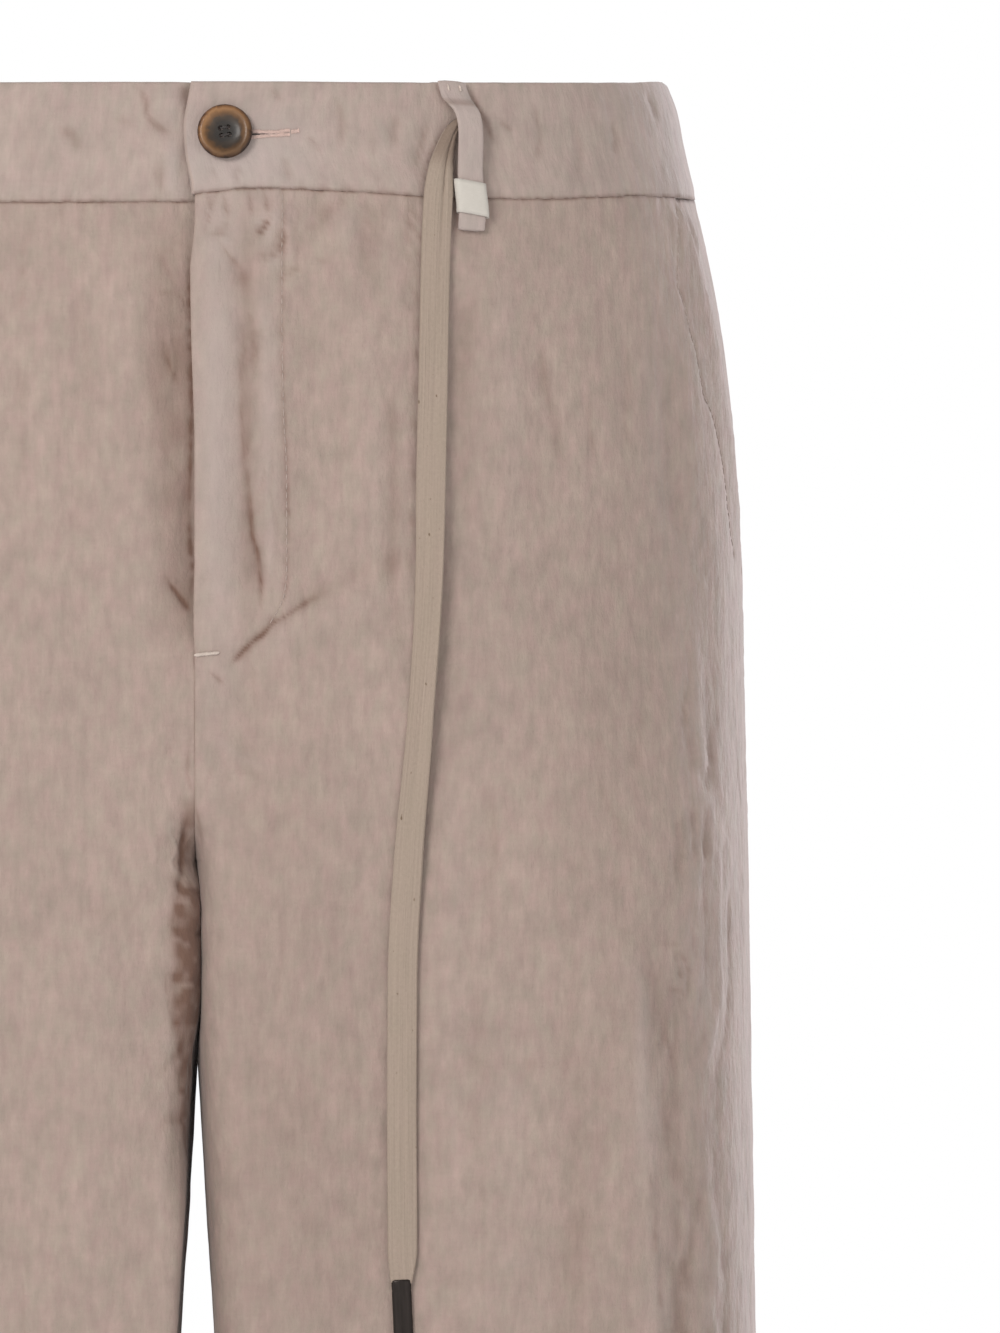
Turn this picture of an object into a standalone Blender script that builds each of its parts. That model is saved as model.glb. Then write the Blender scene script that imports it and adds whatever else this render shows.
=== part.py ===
"""Drawstring shorts in washed linen, filled out as worn: an open, hollow form held up at its waistband.

The wearer's left is +X, the front faces -Y and up is +Z. The origin is the middle of the waist, half-way down the
waistband. Every cloth piece is cut from one outer surface, which outline_row() works out from the sections below.
Lengths are in metres. A drop is measured down from the waistband's top edge, and an arc is measured along the cloth
from the side seam. Both halves are worked out as the left one, and the right half is then turned over at X = 0.
"""

import math
from collections import namedtuple

import bmesh
import bpy
import numpy as np
from mathutils import Matrix, Vector

# ---------------------------------------------------------------- driving sizes

SEAM_GAP = 0.0003
LAYER_GAP = 0.0006
CLOTH = 0.0012
HEM_CLOTH = 0.0020

BAND_HEIGHT = 0.036
BAND_THICK = 0.0022
BAND_PROUD = 0.0006

TOTAL_DROP = 0.490
HEM_HEIGHT = 0.030
HEM_STEP = 0.004

CROTCH_DROP = 0.246
FRONT_RISE_CURVE = 0.095
BACK_RISE_CURVE = 0.135
RISE_FOOT_POWER = 1.6
RISE_HEAD_POWER = 1.6
LEGS_TOUCH = 0.0002
LEGS_PART_DROP = 0.303
LEG_SPREAD = 0.050

FLY_WIDTH = 0.028
FLY_DROP = 0.183
FLY_FOOT = 0.012
FLY_EDGE_PAST = 0.0008
UNDER_FLY = 0.013
UNDER_FLY_FOOT = 0.026
FLY_LIFT = 0.0008
FLY_LIFT_END = 0.039
FLY_DIVE = 0.0010
LAP_CLOSES_FROM = 0.177
LAP_CLOSED = 0.195
DIVE_WIDTH = 0.009

UNDER_BAND = 0.025
BAND_LIFT = 0.0012
BAND_LIFT_END = 0.052
BAND_DIVE = 0.0016

POCKET_UNDERLAP = 0.011
FACING_BOTTOM = 0.178
FACING_TUCK = 0.007
POCKET_GAPE = 0.0014
GAPE_WIDTH = 0.016
GAPE_NARROWS = 0.008
GAPE_OPENS = 0.010

LOOP_WIDTH = 0.0098
LOOP_THICK = 0.0016
LOOP_LENGTH = 0.0474
FRONT_LOOP_X = 0.0872
BACK_LOOP_ARC = 0.048

LABEL_HEIGHT = 0.0117
LABEL_DROP = 0.0310
LABEL_WALL = 0.0007
LABEL_EASE = 0.0002
LABEL_ROWS = 5

BUTTON_X = 0.0098
BUTTON_DROP = 0.0158
BUTTON_RADIUS = 0.0087
BUTTON_THICK = 0.0030
SHANK_HEIGHT = 0.0009
SHANK_RADIUS = 0.0019
HOLE_RADIUS = 0.00085
HOLE_OUT = 0.0017
HOLE_DEPTH = 0.0019

TAPE_WIDTH = 0.0095
TAPE_THICK = 0.0012
TAPE_CLEAR = 0.0009
TAPE_LEAVES_BAND = 0.006
TAPE_LEAVES_CLOTH = 0.030
TIP_LENGTH = 0.026
TIP_WIDTH = 0.0062
TIP_THICK = 0.0026
TIP_EDGE = 0.0004

# Level sections of the outer surface. half_width is the front view's outline; front and back are the depths before
# and behind the side seams; outer_corner and inner_corner are superellipse powers: 2 is round, more is squarer.
Section = namedtuple("Section", "drop half_width front back outer_corner")
SECTIONS = [
    Section(0.000, 0.1510, 0.0990, 0.1010, 2.30),
    Section(0.009, 0.1537, 0.1000, 0.1020, 2.30),
    Section(0.018, 0.1554, 0.1015, 0.1040, 2.30),
    Section(0.036, 0.1586, 0.1040, 0.1080, 2.32),
    Section(0.051, 0.1622, 0.1060, 0.1140, 2.34),
    Section(0.073, 0.1665, 0.1080, 0.1225, 2.36),
    Section(0.095, 0.1695, 0.1095, 0.1300, 2.38),
    Section(0.118, 0.1718, 0.1105, 0.1360, 2.40),
    Section(0.153, 0.1736, 0.1115, 0.1410, 2.45),
    Section(0.182, 0.1745, 0.1115, 0.1410, 2.50),
    Section(0.214, 0.1751, 0.1110, 0.1360, 2.58),
    Section(0.246, 0.1758, 0.1100, 0.1285, 2.66),
    Section(0.310, 0.1767, 0.1075, 0.1175, 2.78),
    Section(0.358, 0.1776, 0.1055, 0.1130, 2.82),
    Section(0.400, 0.1781, 0.1040, 0.1105, 2.80),
    Section(0.490, 0.1790, 0.1010, 0.1060, 2.75),
]

# The waistband's top edge is level over the front and the back. Towards the sides it rises, then rounds off there.
EdgeShift = namedtuple("EdgeShift", "rise reach")
TOP_EDGE = [EdgeShift(0.0022, 0.055), EdgeShift(-0.0026, 0.012)]

# The front's inner corner: the front hangs flat to the crotch, and below it the left leg is pressed square against
# the other, which rolls away.
INNER_CORNER = 2.4
SEAT_CORNER = 5.0
SEAT_CORNER_FROM = 0.150
SEAT_CORNER_CHANGE = 0.060
LEFT_LEG_CORNER = 6.5
RIGHT_LEG_CORNER = 4.2
CORNER_CHANGE = 0.05

# The largest folds, as soft troughs (height below 0) and ridges (height above 0), each along a straight line over
# the front as it is seen: x is measured out from the centre front, and width is how far the slope runs to a side.
Fold = namedtuple("Fold", "side x_from drop_from x_to drop_to height width")
LEFT, RIGHT = 1, -1
FRONT_FOLDS = [
    # the fly's puffed stand, its inner furrow and the ridge beside its stitching
    Fold(LEFT, 0.0070, 0.050, 0.0080, 0.174, 0.0012, 0.006),
    Fold(LEFT, 0.0165, 0.072, 0.0215, 0.174, -0.0016, 0.0035),
    Fold(LEFT, 0.0235, 0.060, 0.0260, 0.160, 0.0008, 0.004),
    # the drag line that runs up and out from the foot of the fly
    Fold(LEFT, 0.0110, 0.186, 0.0332, 0.1637, -0.0030, 0.006),
    Fold(LEFT, 0.0332, 0.1637, 0.0743, 0.1495, -0.0016, 0.008),
    Fold(LEFT, 0.018, 0.199, 0.060, 0.175, 0.0012, 0.010),
    # the valley where the under front runs in behind the fly
    Fold(RIGHT, 0.0050, 0.050, 0.0040, 0.166, -0.0030, 0.008),
    Fold(RIGHT, 0.0180, 0.060, 0.0160, 0.170, 0.0012, 0.010),
    Fold(RIGHT, 0.0100, 0.156, 0.0010, 0.169, -0.0022, 0.005),
    # the long turned edge down the outside of each leg
    Fold(LEFT, 0.139, 0.274, 0.146, 0.490, 0.0034, 0.009),
    Fold(LEFT, 0.153, 0.300, 0.156, 0.490, -0.0026, 0.008),
    Fold(LEFT, 0.157, 0.190, 0.160, 0.330, 0.0022, 0.008),
    Fold(RIGHT, 0.141, 0.300, 0.147, 0.490, 0.0028, 0.009),
    Fold(RIGHT, 0.155, 0.240, 0.157, 0.440, -0.0022, 0.008),
    # slack down the middle of the legs
    Fold(LEFT, 0.046, 0.250, 0.052, 0.490, -0.0014, 0.014),
    Fold(LEFT, 0.100, 0.330, 0.096, 0.490, 0.0014, 0.016),
    Fold(RIGHT, 0.060, 0.300, 0.066, 0.490, -0.0016, 0.014),
    Fold(RIGHT, 0.032, 0.270, 0.030, 0.450, 0.0018, 0.012),
    # the creases that break from the crotch
    Fold(LEFT, 0.004, 0.214, 0.022, 0.236, -0.0020, 0.006),
    Fold(RIGHT, 0.003, 0.210, 0.012, 0.246, -0.0030, 0.006),
    Fold(RIGHT, 0.012, 0.262, 0.040, 0.280, -0.0014, 0.008),
]
BACK_FOLDS = [
    Fold(LEFT, 0.050, 0.200, 0.062, 0.330, -0.0030, 0.012),
    Fold(LEFT, 0.024, 0.232, 0.070, 0.262, -0.0024, 0.010),
    Fold(LEFT, 0.105, 0.270, 0.112, 0.490, 0.0028, 0.014),
    Fold(LEFT, 0.075, 0.340, 0.070, 0.490, -0.0022, 0.012),
    Fold(RIGHT, 0.046, 0.205, 0.055, 0.350, -0.0030, 0.012),
    Fold(RIGHT, 0.028, 0.236, 0.078, 0.270, -0.0022, 0.010),
    Fold(RIGHT, 0.098, 0.290, 0.104, 0.490, 0.0030, 0.014),
    Fold(RIGHT, 0.130, 0.330, 0.126, 0.490, -0.0020, 0.012),
]
FOLD_FADE = 0.030
SEAM_FADE = 0.010

# The drawstring's route over the left front: its middle line, from behind the belt loop down to its tip.
Stop = namedtuple("Stop", "x drop width thick")
TAPE_ROUTE = [
    Stop(0.0892, 0.0126, 0.0034, 0.0020),
    Stop(0.0850, 0.0128, 0.0034, 0.0020),
    Stop(0.0812, 0.0150, 0.0042, 0.0020),
    Stop(0.0784, 0.0215, 0.0062, 0.0016),
    Stop(0.0768, 0.0294, 0.0084, 0.0013),
    Stop(0.0763, 0.0367, TAPE_WIDTH, TAPE_THICK),
    Stop(0.0754, 0.0657, TAPE_WIDTH, TAPE_THICK),
    Stop(0.0746, 0.1018, TAPE_WIDTH, TAPE_THICK),
    Stop(0.0739, 0.1321, TAPE_WIDTH, TAPE_THICK),
    Stop(0.0732, 0.1637, TAPE_WIDTH, TAPE_THICK),
    Stop(0.0711, 0.2041, TAPE_WIDTH, TAPE_THICK),
    Stop(0.0676, 0.2443, TAPE_WIDTH, TAPE_THICK),
    Stop(0.0656, 0.2847, TAPE_WIDTH, TAPE_THICK),
    Stop(0.0654, 0.3264, TAPE_WIDTH, TAPE_THICK),
    Stop(0.0656, 0.3691, TAPE_WIDTH, TAPE_THICK),
    Stop(0.0652, 0.3798, 0.0070, TAPE_THICK),
]
TAPE_POINTS = 72

# The slanting pocket mouth, as its arc from the side seam: it bends in to the seam at its foot.
Mouth = namedtuple("Mouth", "drop arc")
POCKET_MOUTH = [
    Mouth(0.035, 0.0370),
    Mouth(0.060, 0.0335),
    Mouth(0.090, 0.0285),
    Mouth(0.118, 0.0222),
    Mouth(0.140, 0.0155),
    Mouth(0.158, 0.0090),
    Mouth(0.168, 0.0045),
    Mouth(0.174, 0.0000),
]

# How far a belt loop's underside stands off the cloth, down its length.
Standoff = namedtuple("Standoff", "drop rise")
LOOP_STANDOFFS = [
    Standoff(0.0002, 0.0010),
    Standoff(0.0060, 0.0011),
    Standoff(0.0090, 0.0026),
    Standoff(0.0125, 0.0038),
    Standoff(0.0170, 0.0038),
    Standoff(0.0215, 0.0036),
    Standoff(0.0260, 0.0033),
    Standoff(0.0300, 0.0030),
    Standoff(0.0345, 0.0027),
    Standoff(0.0380, 0.0025),
    Standoff(0.0410, 0.0022),
    Standoff(0.0445, 0.0011),
    Standoff(LOOP_LENGTH, 0.0006),
]

FRONT, BACK = -1, 1
ROW_SAMPLES = 420
FRAME_STEP = 0.002

# Each finish, as linear base colour, roughness and metallic value.
Finish = namedtuple("Finish", "name color roughness metallic")
LINEN = Finish("linen", (0.402, 0.310, 0.268), 0.92, 0.0)
BAND_LINEN = Finish("band_linen", (0.425, 0.335, 0.292), 0.92, 0.0)
TWILL_TAPE = Finish("twill_tape", (0.380, 0.300, 0.242), 0.90, 0.0)
WOVEN_LABEL = Finish("woven_label", (0.760, 0.740, 0.700), 0.85, 0.0)
HORN = Finish("horn", (0.110, 0.055, 0.028), 0.30, 0.0)
DARK_METAL = Finish("dark_metal", (0.030, 0.025, 0.022), 0.35, 0.9)


# ---------------------------------------------------------------- curves and the outer surface


def ease(t):
    """0 up to t = 0, 1 from t = 1, and a smooth rise between them."""
    t = np.clip(t, 0.0, 1.0)
    return t * t * (3.0 - 2.0 * t)


def smooth_curve(xs, ys):
    """A function whose curve passes smoothly through the points, with no bump between them."""
    xs, ys = np.array(xs, float), np.array(ys, float)
    steps = np.diff(ys) / np.diff(xs)
    same_way = steps[:-1] * steps[1:] > 0
    total = np.where(same_way, steps[:-1] + steps[1:], 1.0)
    inner = np.where(same_way, 2.0 * steps[:-1] * steps[1:] / total, 0.0)
    slopes = np.concatenate([steps[:1], inner, steps[-1:]])

    def value(x):
        i = np.clip(np.searchsorted(xs, x, side="right") - 1, 0, len(xs) - 2)
        span = xs[i + 1] - xs[i]
        t = np.clip((x - xs[i]) / span, 0.0, 1.0)
        rise = (3.0 - 2.0 * t) * t * t
        lead_in = t * (1.0 - t) ** 2 * span * slopes[i]
        lead_out = t * t * (t - 1.0) * span * slopes[i + 1]
        return ys[i] * (1.0 - rise) + ys[i + 1] * rise + lead_in + lead_out

    return value


section_drops = [s.drop for s in SECTIONS]
half_width_at = smooth_curve(section_drops, [s.half_width for s in SECTIONS])
outer_corner_at = smooth_curve(section_drops, [s.outer_corner for s in SECTIONS])
depth_at = {
    FRONT: smooth_curve(section_drops, [s.front for s in SECTIONS]),
    BACK: smooth_curve(section_drops, [s.back for s in SECTIONS]),
}
rise_curve = {FRONT: FRONT_RISE_CURVE, BACK: BACK_RISE_CURVE}


def height(drop):
    """Z at a drop."""
    return BAND_HEIGHT / 2 - drop


def leg_gap(drop):
    """How far a leg's inner side stands from the middle plane."""
    return LEGS_TOUCH + LEG_SPREAD * max(0.0, drop - LEGS_PART_DROP)


def inner_corner(side, face, drop):
    """The superellipse power of the leg's inner corner. The two halves share it wherever a seam joins them."""
    if face == BACK:
        return INNER_CORNER
    seat = INNER_CORNER + (SEAT_CORNER - INNER_CORNER) * ease((drop - SEAT_CORNER_FROM) / SEAT_CORNER_CHANGE)
    leg = LEFT_LEG_CORNER if side == LEFT else RIGHT_LEG_CORNER
    return seat + (leg - SEAT_CORNER) * ease((drop - CROTCH_DROP) / CORNER_CHANGE)


def outline_row(side, face, drop, past=0.0):
    """The surface's level line at a drop, from the side seam in to the middle or the inseam.

    It returns the points' x, y and arc. past runs the line on beyond the middle plane, as an underlap does. Above the
    crotch a leg's ring is cut by the middle plane, which gives the rise seam its curve down to the inseam.
    """
    width, depth = half_width_at(drop), depth_at[face](drop)
    inner, outer = inner_corner(side, face, drop), outer_corner_at(drop)
    if drop < CROTCH_DROP:
        climbed = min(1.0, (CROTCH_DROP - drop) / rise_curve[face])
        share = (1.0 - climbed**RISE_FOOT_POWER) ** RISE_HEAD_POWER
        reach = width / (1.0 + share)
        centre = width - reach
        last = math.pi - math.acos(min(1.0, (centre + past) / reach) ** (inner / 2))
    else:
        reach = (width - leg_gap(drop)) / 2
        centre = width - reach
        last = math.pi
    angle = np.linspace(0.0, last, ROW_SAMPLES)
    power = 2.0 / np.where(angle < math.pi / 2, outer, inner)
    across, out = np.cos(angle), np.sin(angle)
    x = centre + reach * np.sign(across) * np.abs(across) ** power
    y = face * depth * np.abs(out) ** power
    arc = np.concatenate([[0.0], np.cumsum(np.hypot(np.diff(x), np.diff(y)))])
    return x, y, arc


def row_point(row, arc):
    """(x, y) of a row from outline_row at an arc, or at an array of arcs."""
    x, y, arcs = row
    return np.interp(arc, arcs, x), np.interp(arc, arcs, y)


def arc_at_x(row, x):
    """The arc at which a row, coming from the side seam, stands that far out from the middle plane."""
    xs, _, arcs = row
    inward = np.argmax(xs < x) if (xs < x).any() else len(xs) - 1
    before = max(inward - 1, 0)
    share = (xs[before] - x) / max(xs[before] - xs[inward], 1e-9)
    return arcs[before] + np.clip(share, 0.0, 1.0) * (arcs[inward] - arcs[before])


def fold_height(folds, side, x, drop):
    """How far the folds of one face raise the cloth at a place, all ends fading out."""
    total = 0.0
    for fold in folds:
        if fold.side != side:
            continue
        start = np.array([fold.x_from, fold.drop_from])
        run = np.array([fold.x_to, fold.drop_to]) - start
        length = np.hypot(*run)
        along_way = run / length
        along = (x - start[0]) * along_way[0] + (drop - start[1]) * along_way[1]
        away = (x - start[0]) * -along_way[1] + (drop - start[1]) * along_way[0]
        runs_to_hem = fold.drop_to >= TOTAL_DROP
        fade = min(FOLD_FADE, length / 3)
        ends = ease(along / fade) * (1.0 if runs_to_hem else ease((length - along) / fade))
        total = total + fold.height * ends * np.exp(-((away / fold.width) ** 2))
    return total


def dive(x):
    """1 where one half runs in under the other at the centre front, 0 a little way out from it."""
    return 1.0 - ease((x + FLY_EDGE_PAST) / DIVE_WIDTH)


def fly_lap(side, x, drop):
    """The left front lies over the right one as far as the fly's stitching, and the right one dives in under it."""
    down = 1.0 - ease((drop - LAP_CLOSES_FROM) / (LAP_CLOSED - LAP_CLOSES_FROM))
    if side == RIGHT:
        return -FLY_DIVE * dive(x) * down
    return FLY_LIFT * (1.0 - ease((x - FLY_WIDTH) / (FLY_LIFT_END - FLY_WIDTH))) * down


pocket_mouth_arc = smooth_curve([m.drop for m in POCKET_MOUTH], [m.arc for m in POCKET_MOUTH])


def front_relief(side, x, arc, inset, drop):
    """How far the front panel stands out from the plain surface. inset is the distance from its inner edge."""
    sewn_edges = ease(arc / SEAM_FADE)
    if drop > FLY_DROP:
        sewn_edges = sewn_edges * ease(inset / SEAM_FADE)
    mouth = pocket_mouth_arc(drop)
    gape = POCKET_GAPE * ease(mouth / GAPE_NARROWS) * ease((drop - BAND_HEIGHT) / GAPE_OPENS)
    gape = gape * (1.0 - ease((arc - mouth) / GAPE_WIDTH))
    return sewn_edges * fold_height(FRONT_FOLDS, side, x, drop) + gape + fly_lap(side, x, drop)


def back_relief(side, x, arc, inset, drop):
    """How far the back panel stands out from the plain surface."""
    sewn_edges = ease(arc / SEAM_FADE) * ease(inset / SEAM_FADE)
    return sewn_edges * fold_height(BACK_FOLDS, side, x, drop)


def band_relief(side, x, arc, inset, drop):
    """How far a waistband half stands out in front: the left one laps over the right one's end."""
    if side == RIGHT:
        return BAND_PROUD - BAND_DIVE * dive(x)
    return BAND_PROUD + BAND_LIFT * (1.0 - ease((x - UNDER_BAND) / (BAND_LIFT_END - UNDER_BAND)))


# ---------------------------------------------------------------- making the pieces


def material_for(finish):
    """The finish's material, made once."""
    material = bpy.data.materials.get(finish.name)
    if material is None:
        material = bpy.data.materials.new(finish.name)
        material.use_nodes = True
        shader = material.node_tree.nodes["Principled BSDF"]
        shader.inputs["Base Color"].default_value = (*finish.color, 1.0)
        shader.inputs["Roughness"].default_value = finish.roughness
        shader.inputs["Metallic"].default_value = finish.metallic
    return material


def add_object(name, data, finish, collection):
    """Links a mesh or a curve as a named piece with its finish."""
    piece = bpy.data.objects.new(name, data)
    data.materials.append(material_for(finish))
    collection.objects.link(piece)
    return piece


def outward_normals(points):
    """Unit normals of a grid of points whose rows run down and whose columns run from the inner edge to the side."""
    down, across = np.gradient(points, axis=0), np.gradient(points, axis=1)
    normals = np.cross(down, across)
    return normals / np.maximum(np.linalg.norm(normals, axis=2, keepdims=True), 1e-12)


def grid_mesh(name, points, turned):
    """A smooth open sheet through a grid of points. turned says that its faces have to be wound the other way."""
    rows, columns = points.shape[:2]
    sheet = bmesh.new()
    corners = [[sheet.verts.new(Vector(points[r, c])) for c in range(columns)] for r in range(rows)]
    for r in range(rows - 1):
        for c in range(columns - 1):
            face = [corners[r][c], corners[r + 1][c], corners[r + 1][c + 1], corners[r][c + 1]]
            sheet.faces.new(face[::-1] if turned else face)
    mesh = bpy.data.meshes.new(name)
    sheet.to_mesh(mesh)
    sheet.free()
    mesh.shade_smooth()
    return mesh


def thicken(piece, thickness, outward=False):
    """Gives a sheet its wall, inward from its face unless told otherwise."""
    wall = piece.modifiers.new("wall", "SOLIDIFY")
    wall.thickness = thickness
    wall.offset = 1.0 if outward else -1.0
    wall.use_even_offset = True
    return wall


def panel_grid(side, face, drops, shares, past_at, edge_arc_at, relief_at):
    """A panel's outer points: for each drop, from the inner edge (share 0) to the side edge (share 1).

    The cloth that a leg has more than the hips lies at its inner side, so that the outer columns hang straight down.
    """
    trim = SEAM_GAP / 2
    plain, places = [], []
    for drop in drops:
        row = outline_row(side, face, drop, past_at(drop))
        inner, outer = row[2][-1] - trim, max(edge_arc_at(drop), trim)
        leg_more = max(0.0, inner - HIP_ARC[face])
        hip = inner - leg_more
        arcs = hip + (outer - hip) * shares + leg_more * (1.0 - shares) ** LEG_MORE_POWER
        x, y = row_point(row, arcs)
        plain.append(np.stack([x, y, np.full(len(x), height(drop))], axis=1))
        places.append((x, arcs, inner - arcs, drop))
    plain = np.array(plain)
    normals = outward_normals(plain) * -face
    relief = np.array([relief_at(side, *place) + np.zeros(len(shares)) for place in places])
    points = plain + normals * relief[:, :, None]
    points[:, :, 0] = side * (points[:, :, 0] + trim)
    return points


# The columns of each piece, as shares of the way from its inner edge to its side edge: close together over the fly.
FRONT_SHARES = np.array([*np.linspace(0.0, 0.168, 9), *np.linspace(0.209, 1.0, 19)])
BACK_SHARES = np.linspace(0.0, 1.0, 22)
BAND_SHARES = np.linspace(0.0, 1.0, 20)
HIP_ARC = {FRONT: 0.250, BACK: 0.280}
LEG_MORE_POWER = 4.0
BAND_ROWS = 4
ROW_STEP = 0.0135
LEG_ROW_STEP = 0.0240
FORK_ROWS = 9
FORK_CROWDING = 1.5
FACING_ROWS = 12
FACING_COLUMNS = 7


def nothing(drop):
    """For an edge that stays where the plain surface has it."""
    return 0.0


def panel_drops(curve_height):
    """The drops of a panel's rows, close together where the rise seam curves in to the crotch."""
    top, bend = BAND_HEIGHT + SEAM_GAP / 2, CROTCH_DROP - curve_height
    upper = np.linspace(top, bend, max(2, round((bend - top) / ROW_STEP)), endpoint=False)
    fork = CROTCH_DROP - curve_height * np.linspace(1.0, 0.0, FORK_ROWS, endpoint=False) ** FORK_CROWDING
    hem_line = TOTAL_DROP - HEM_HEIGHT
    legs = np.linspace(CROTCH_DROP, hem_line - HEM_STEP, round((hem_line - CROTCH_DROP) / LEG_ROW_STEP))
    return [*upper, *fork, *legs, hem_line, TOTAL_DROP]


def hem_the_wall(piece):
    """Gives a panel its wall, thicker where the hem is turned up."""
    group = piece.vertex_groups.new(name="hem")
    for vertex in piece.data.vertices:
        above = vertex.co.z - height(TOTAL_DROP)
        doubled = 1.0 - ease((above - HEM_HEIGHT) / HEM_STEP)
        group.add([vertex.index], float(CLOTH + (HEM_CLOTH - CLOTH) * doubled) / HEM_CLOTH, "REPLACE")
    wall = thicken(piece, HEM_CLOTH)
    wall.vertex_group = group.name


def front_panel(side, collection):
    """A front with its half of the leg. The left one carries the fly, and the right one runs in under it."""

    def past_at(drop):
        reach, foot = (FLY_EDGE_PAST, FLY_FOOT) if side == LEFT else (UNDER_FLY, UNDER_FLY_FOOT)
        return reach * (1.0 - ease((drop - FLY_DROP + foot) / foot))

    drops = panel_drops(FRONT_RISE_CURVE)
    points = panel_grid(side, FRONT, drops, FRONT_SHARES, past_at, pocket_mouth_arc, front_relief)
    name = "front_left" if side == LEFT else "front_right"
    piece = add_object(name, grid_mesh(name, points, turned=side == RIGHT), LINEN, collection)
    hem_the_wall(piece)


def back_panel(side, collection):
    """A back with its half of the leg."""
    drops = panel_drops(BACK_RISE_CURVE)
    points = panel_grid(side, BACK, drops, BACK_SHARES, nothing, nothing, back_relief)
    name = "back_left" if side == LEFT else "back_right"
    piece = add_object(name, grid_mesh(name, points, turned=side == LEFT), LINEN, collection)
    hem_the_wall(piece)


def waistband_half(side, collection):
    """One half of the waistband, in one piece round the side from the centre front to the centre back seam."""
    past = FLY_EDGE_PAST if side == LEFT else UNDER_BAND
    drops = np.linspace(0.0, BAND_HEIGHT - SEAM_GAP / 2, BAND_ROWS)
    fronts = panel_grid(side, FRONT, drops, BAND_SHARES, lambda drop: past, nothing, band_relief)
    backs = panel_grid(side, BACK, drops, BAND_SHARES, nothing, nothing, lambda *place: BAND_PROUD)
    points = np.concatenate([fronts[:, :-1], backs[:, ::-1]], axis=1)
    at_sides = np.abs(points[:, :, 0]) > half_width_at(0.0) / 2
    shift = sum(s.rise * np.exp(-((points[:, :, 1] / s.reach) ** 2)) for s in TOP_EDGE)
    points[:, :, 2] += at_sides * shift * (1.0 - drops / BAND_HEIGHT)[:, None]
    name = "waistband_left" if side == LEFT else "waistband_right"
    mesh = grid_mesh(name, points, turned=side == RIGHT)
    thicken(add_object(name, mesh, BAND_LINEN, collection), BAND_THICK)


def pocket_facing(side, collection):
    """The hip piece that shows behind the slanting pocket mouth and runs on under the front panel's edge."""
    plain, sunk = [], []
    for drop in np.linspace(BAND_HEIGHT + SEAM_GAP / 2, FACING_BOTTOM, FACING_ROWS):
        mouth = pocket_mouth_arc(drop)
        arcs = np.linspace(mouth + POCKET_UNDERLAP, SEAM_GAP / 2, FACING_COLUMNS)
        x, y = row_point(outline_row(side, FRONT, drop), arcs)
        plain.append(np.stack([x, y, np.full(FACING_COLUMNS, height(drop))], axis=1))
        tucked = 1.0 - ease(mouth / FACING_TUCK - 1.0)
        sunk.append((CLOTH + LAYER_GAP) * np.maximum(ease(arcs / max(mouth, FACING_TUCK)), tucked))
    plain, sunk = np.array(plain), np.array(sunk)
    points = plain - outward_normals(plain) * sunk[:, :, None]
    points[:, :, 0] = side * (points[:, :, 0] + SEAM_GAP / 2)
    name = "pocket_facing_left" if side == LEFT else "pocket_facing_right"
    mesh = grid_mesh(name, points, turned=side == RIGHT)
    thicken(add_object(name, mesh, LINEN, collection), CLOTH)


def surface_frame(side, face, drop, arc=None, x=None):
    """A place on the plain surface, at an arc or at an x, with its unit vectors across the cloth and out of it."""

    def place(at_drop, shift=0.0):
        row = outline_row(side, face, at_drop, UNDER_FLY)
        at = (arc_at_x(row, x) if arc is None else arc) + shift
        row_x, row_y = row_point(row, at)
        return np.array([side * row_x, row_y, height(at_drop)])

    down = place(drop + FRAME_STEP) - place(max(drop - FRAME_STEP, 0.0))
    inward = place(drop, FRAME_STEP) - place(drop, -FRAME_STEP)
    out = side * face * np.cross(down, inward)
    across = np.cross(out, down)
    return place(drop), across / np.linalg.norm(across), out / np.linalg.norm(out)


def centre_back_frame(drop):
    """The same as surface_frame at the centre back seam, which no half holds alone."""
    low, high = drop + FRAME_STEP, max(drop - FRAME_STEP, 0.0)
    down = np.array([0.0, depth_at[BACK](low) - depth_at[BACK](high), high - low])
    across = np.array([1.0, 0.0, 0.0])
    out = np.cross(across, down)
    return np.array([0.0, depth_at[BACK](drop), height(drop)]), across, out / np.linalg.norm(out)


def strip_mesh(name, middles, acrosses, outs, widths):
    """A flat strip of two columns of faces along its middle line, its face turned to the outs."""
    middles, acrosses, outs = (np.array(v, float) for v in (middles, acrosses, outs))
    half = np.array(widths, float)[:, None] / 2
    points = np.stack([middles - acrosses * half, middles, middles + acrosses * half], axis=1)
    first = np.cross(points[1, 0] - points[0, 0], points[0, 2] - points[0, 0])
    return grid_mesh(name, points, turned=first @ outs[0] < 0)


def belt_loop(name, frame_at, collection):
    """A belt loop: sewn down at its top and foot, and standing off between them for a belt."""
    middles, acrosses, outs = [], [], []
    for standoff in LOOP_STANDOFFS:
        point, across, out = frame_at(standoff.drop)
        middles.append(point + out * standoff.rise)
        acrosses.append(across)
        outs.append(out)
    mesh = strip_mesh(name, middles, acrosses, outs, [LOOP_WIDTH] * len(middles))
    thicken(add_object(name, mesh, BAND_LINEN, collection), LOOP_THICK, outward=True)


def belt_loops(collection):
    """Five loops: two in front, two behind the side seams and one on the centre back seam."""
    for side, word in ((LEFT, "left"), (RIGHT, "right")):
        belt_loop(
            f"belt_loop_front_{word}",
            lambda drop, side=side: surface_frame(side, FRONT, drop, x=FRONT_LOOP_X),
            collection,
        )
        belt_loop(
            f"belt_loop_back_{word}",
            lambda drop, side=side: surface_frame(side, BACK, drop, arc=BACK_LOOP_ARC),
            collection,
        )
    belt_loop("belt_loop_centre_back", centre_back_frame, collection)


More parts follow.
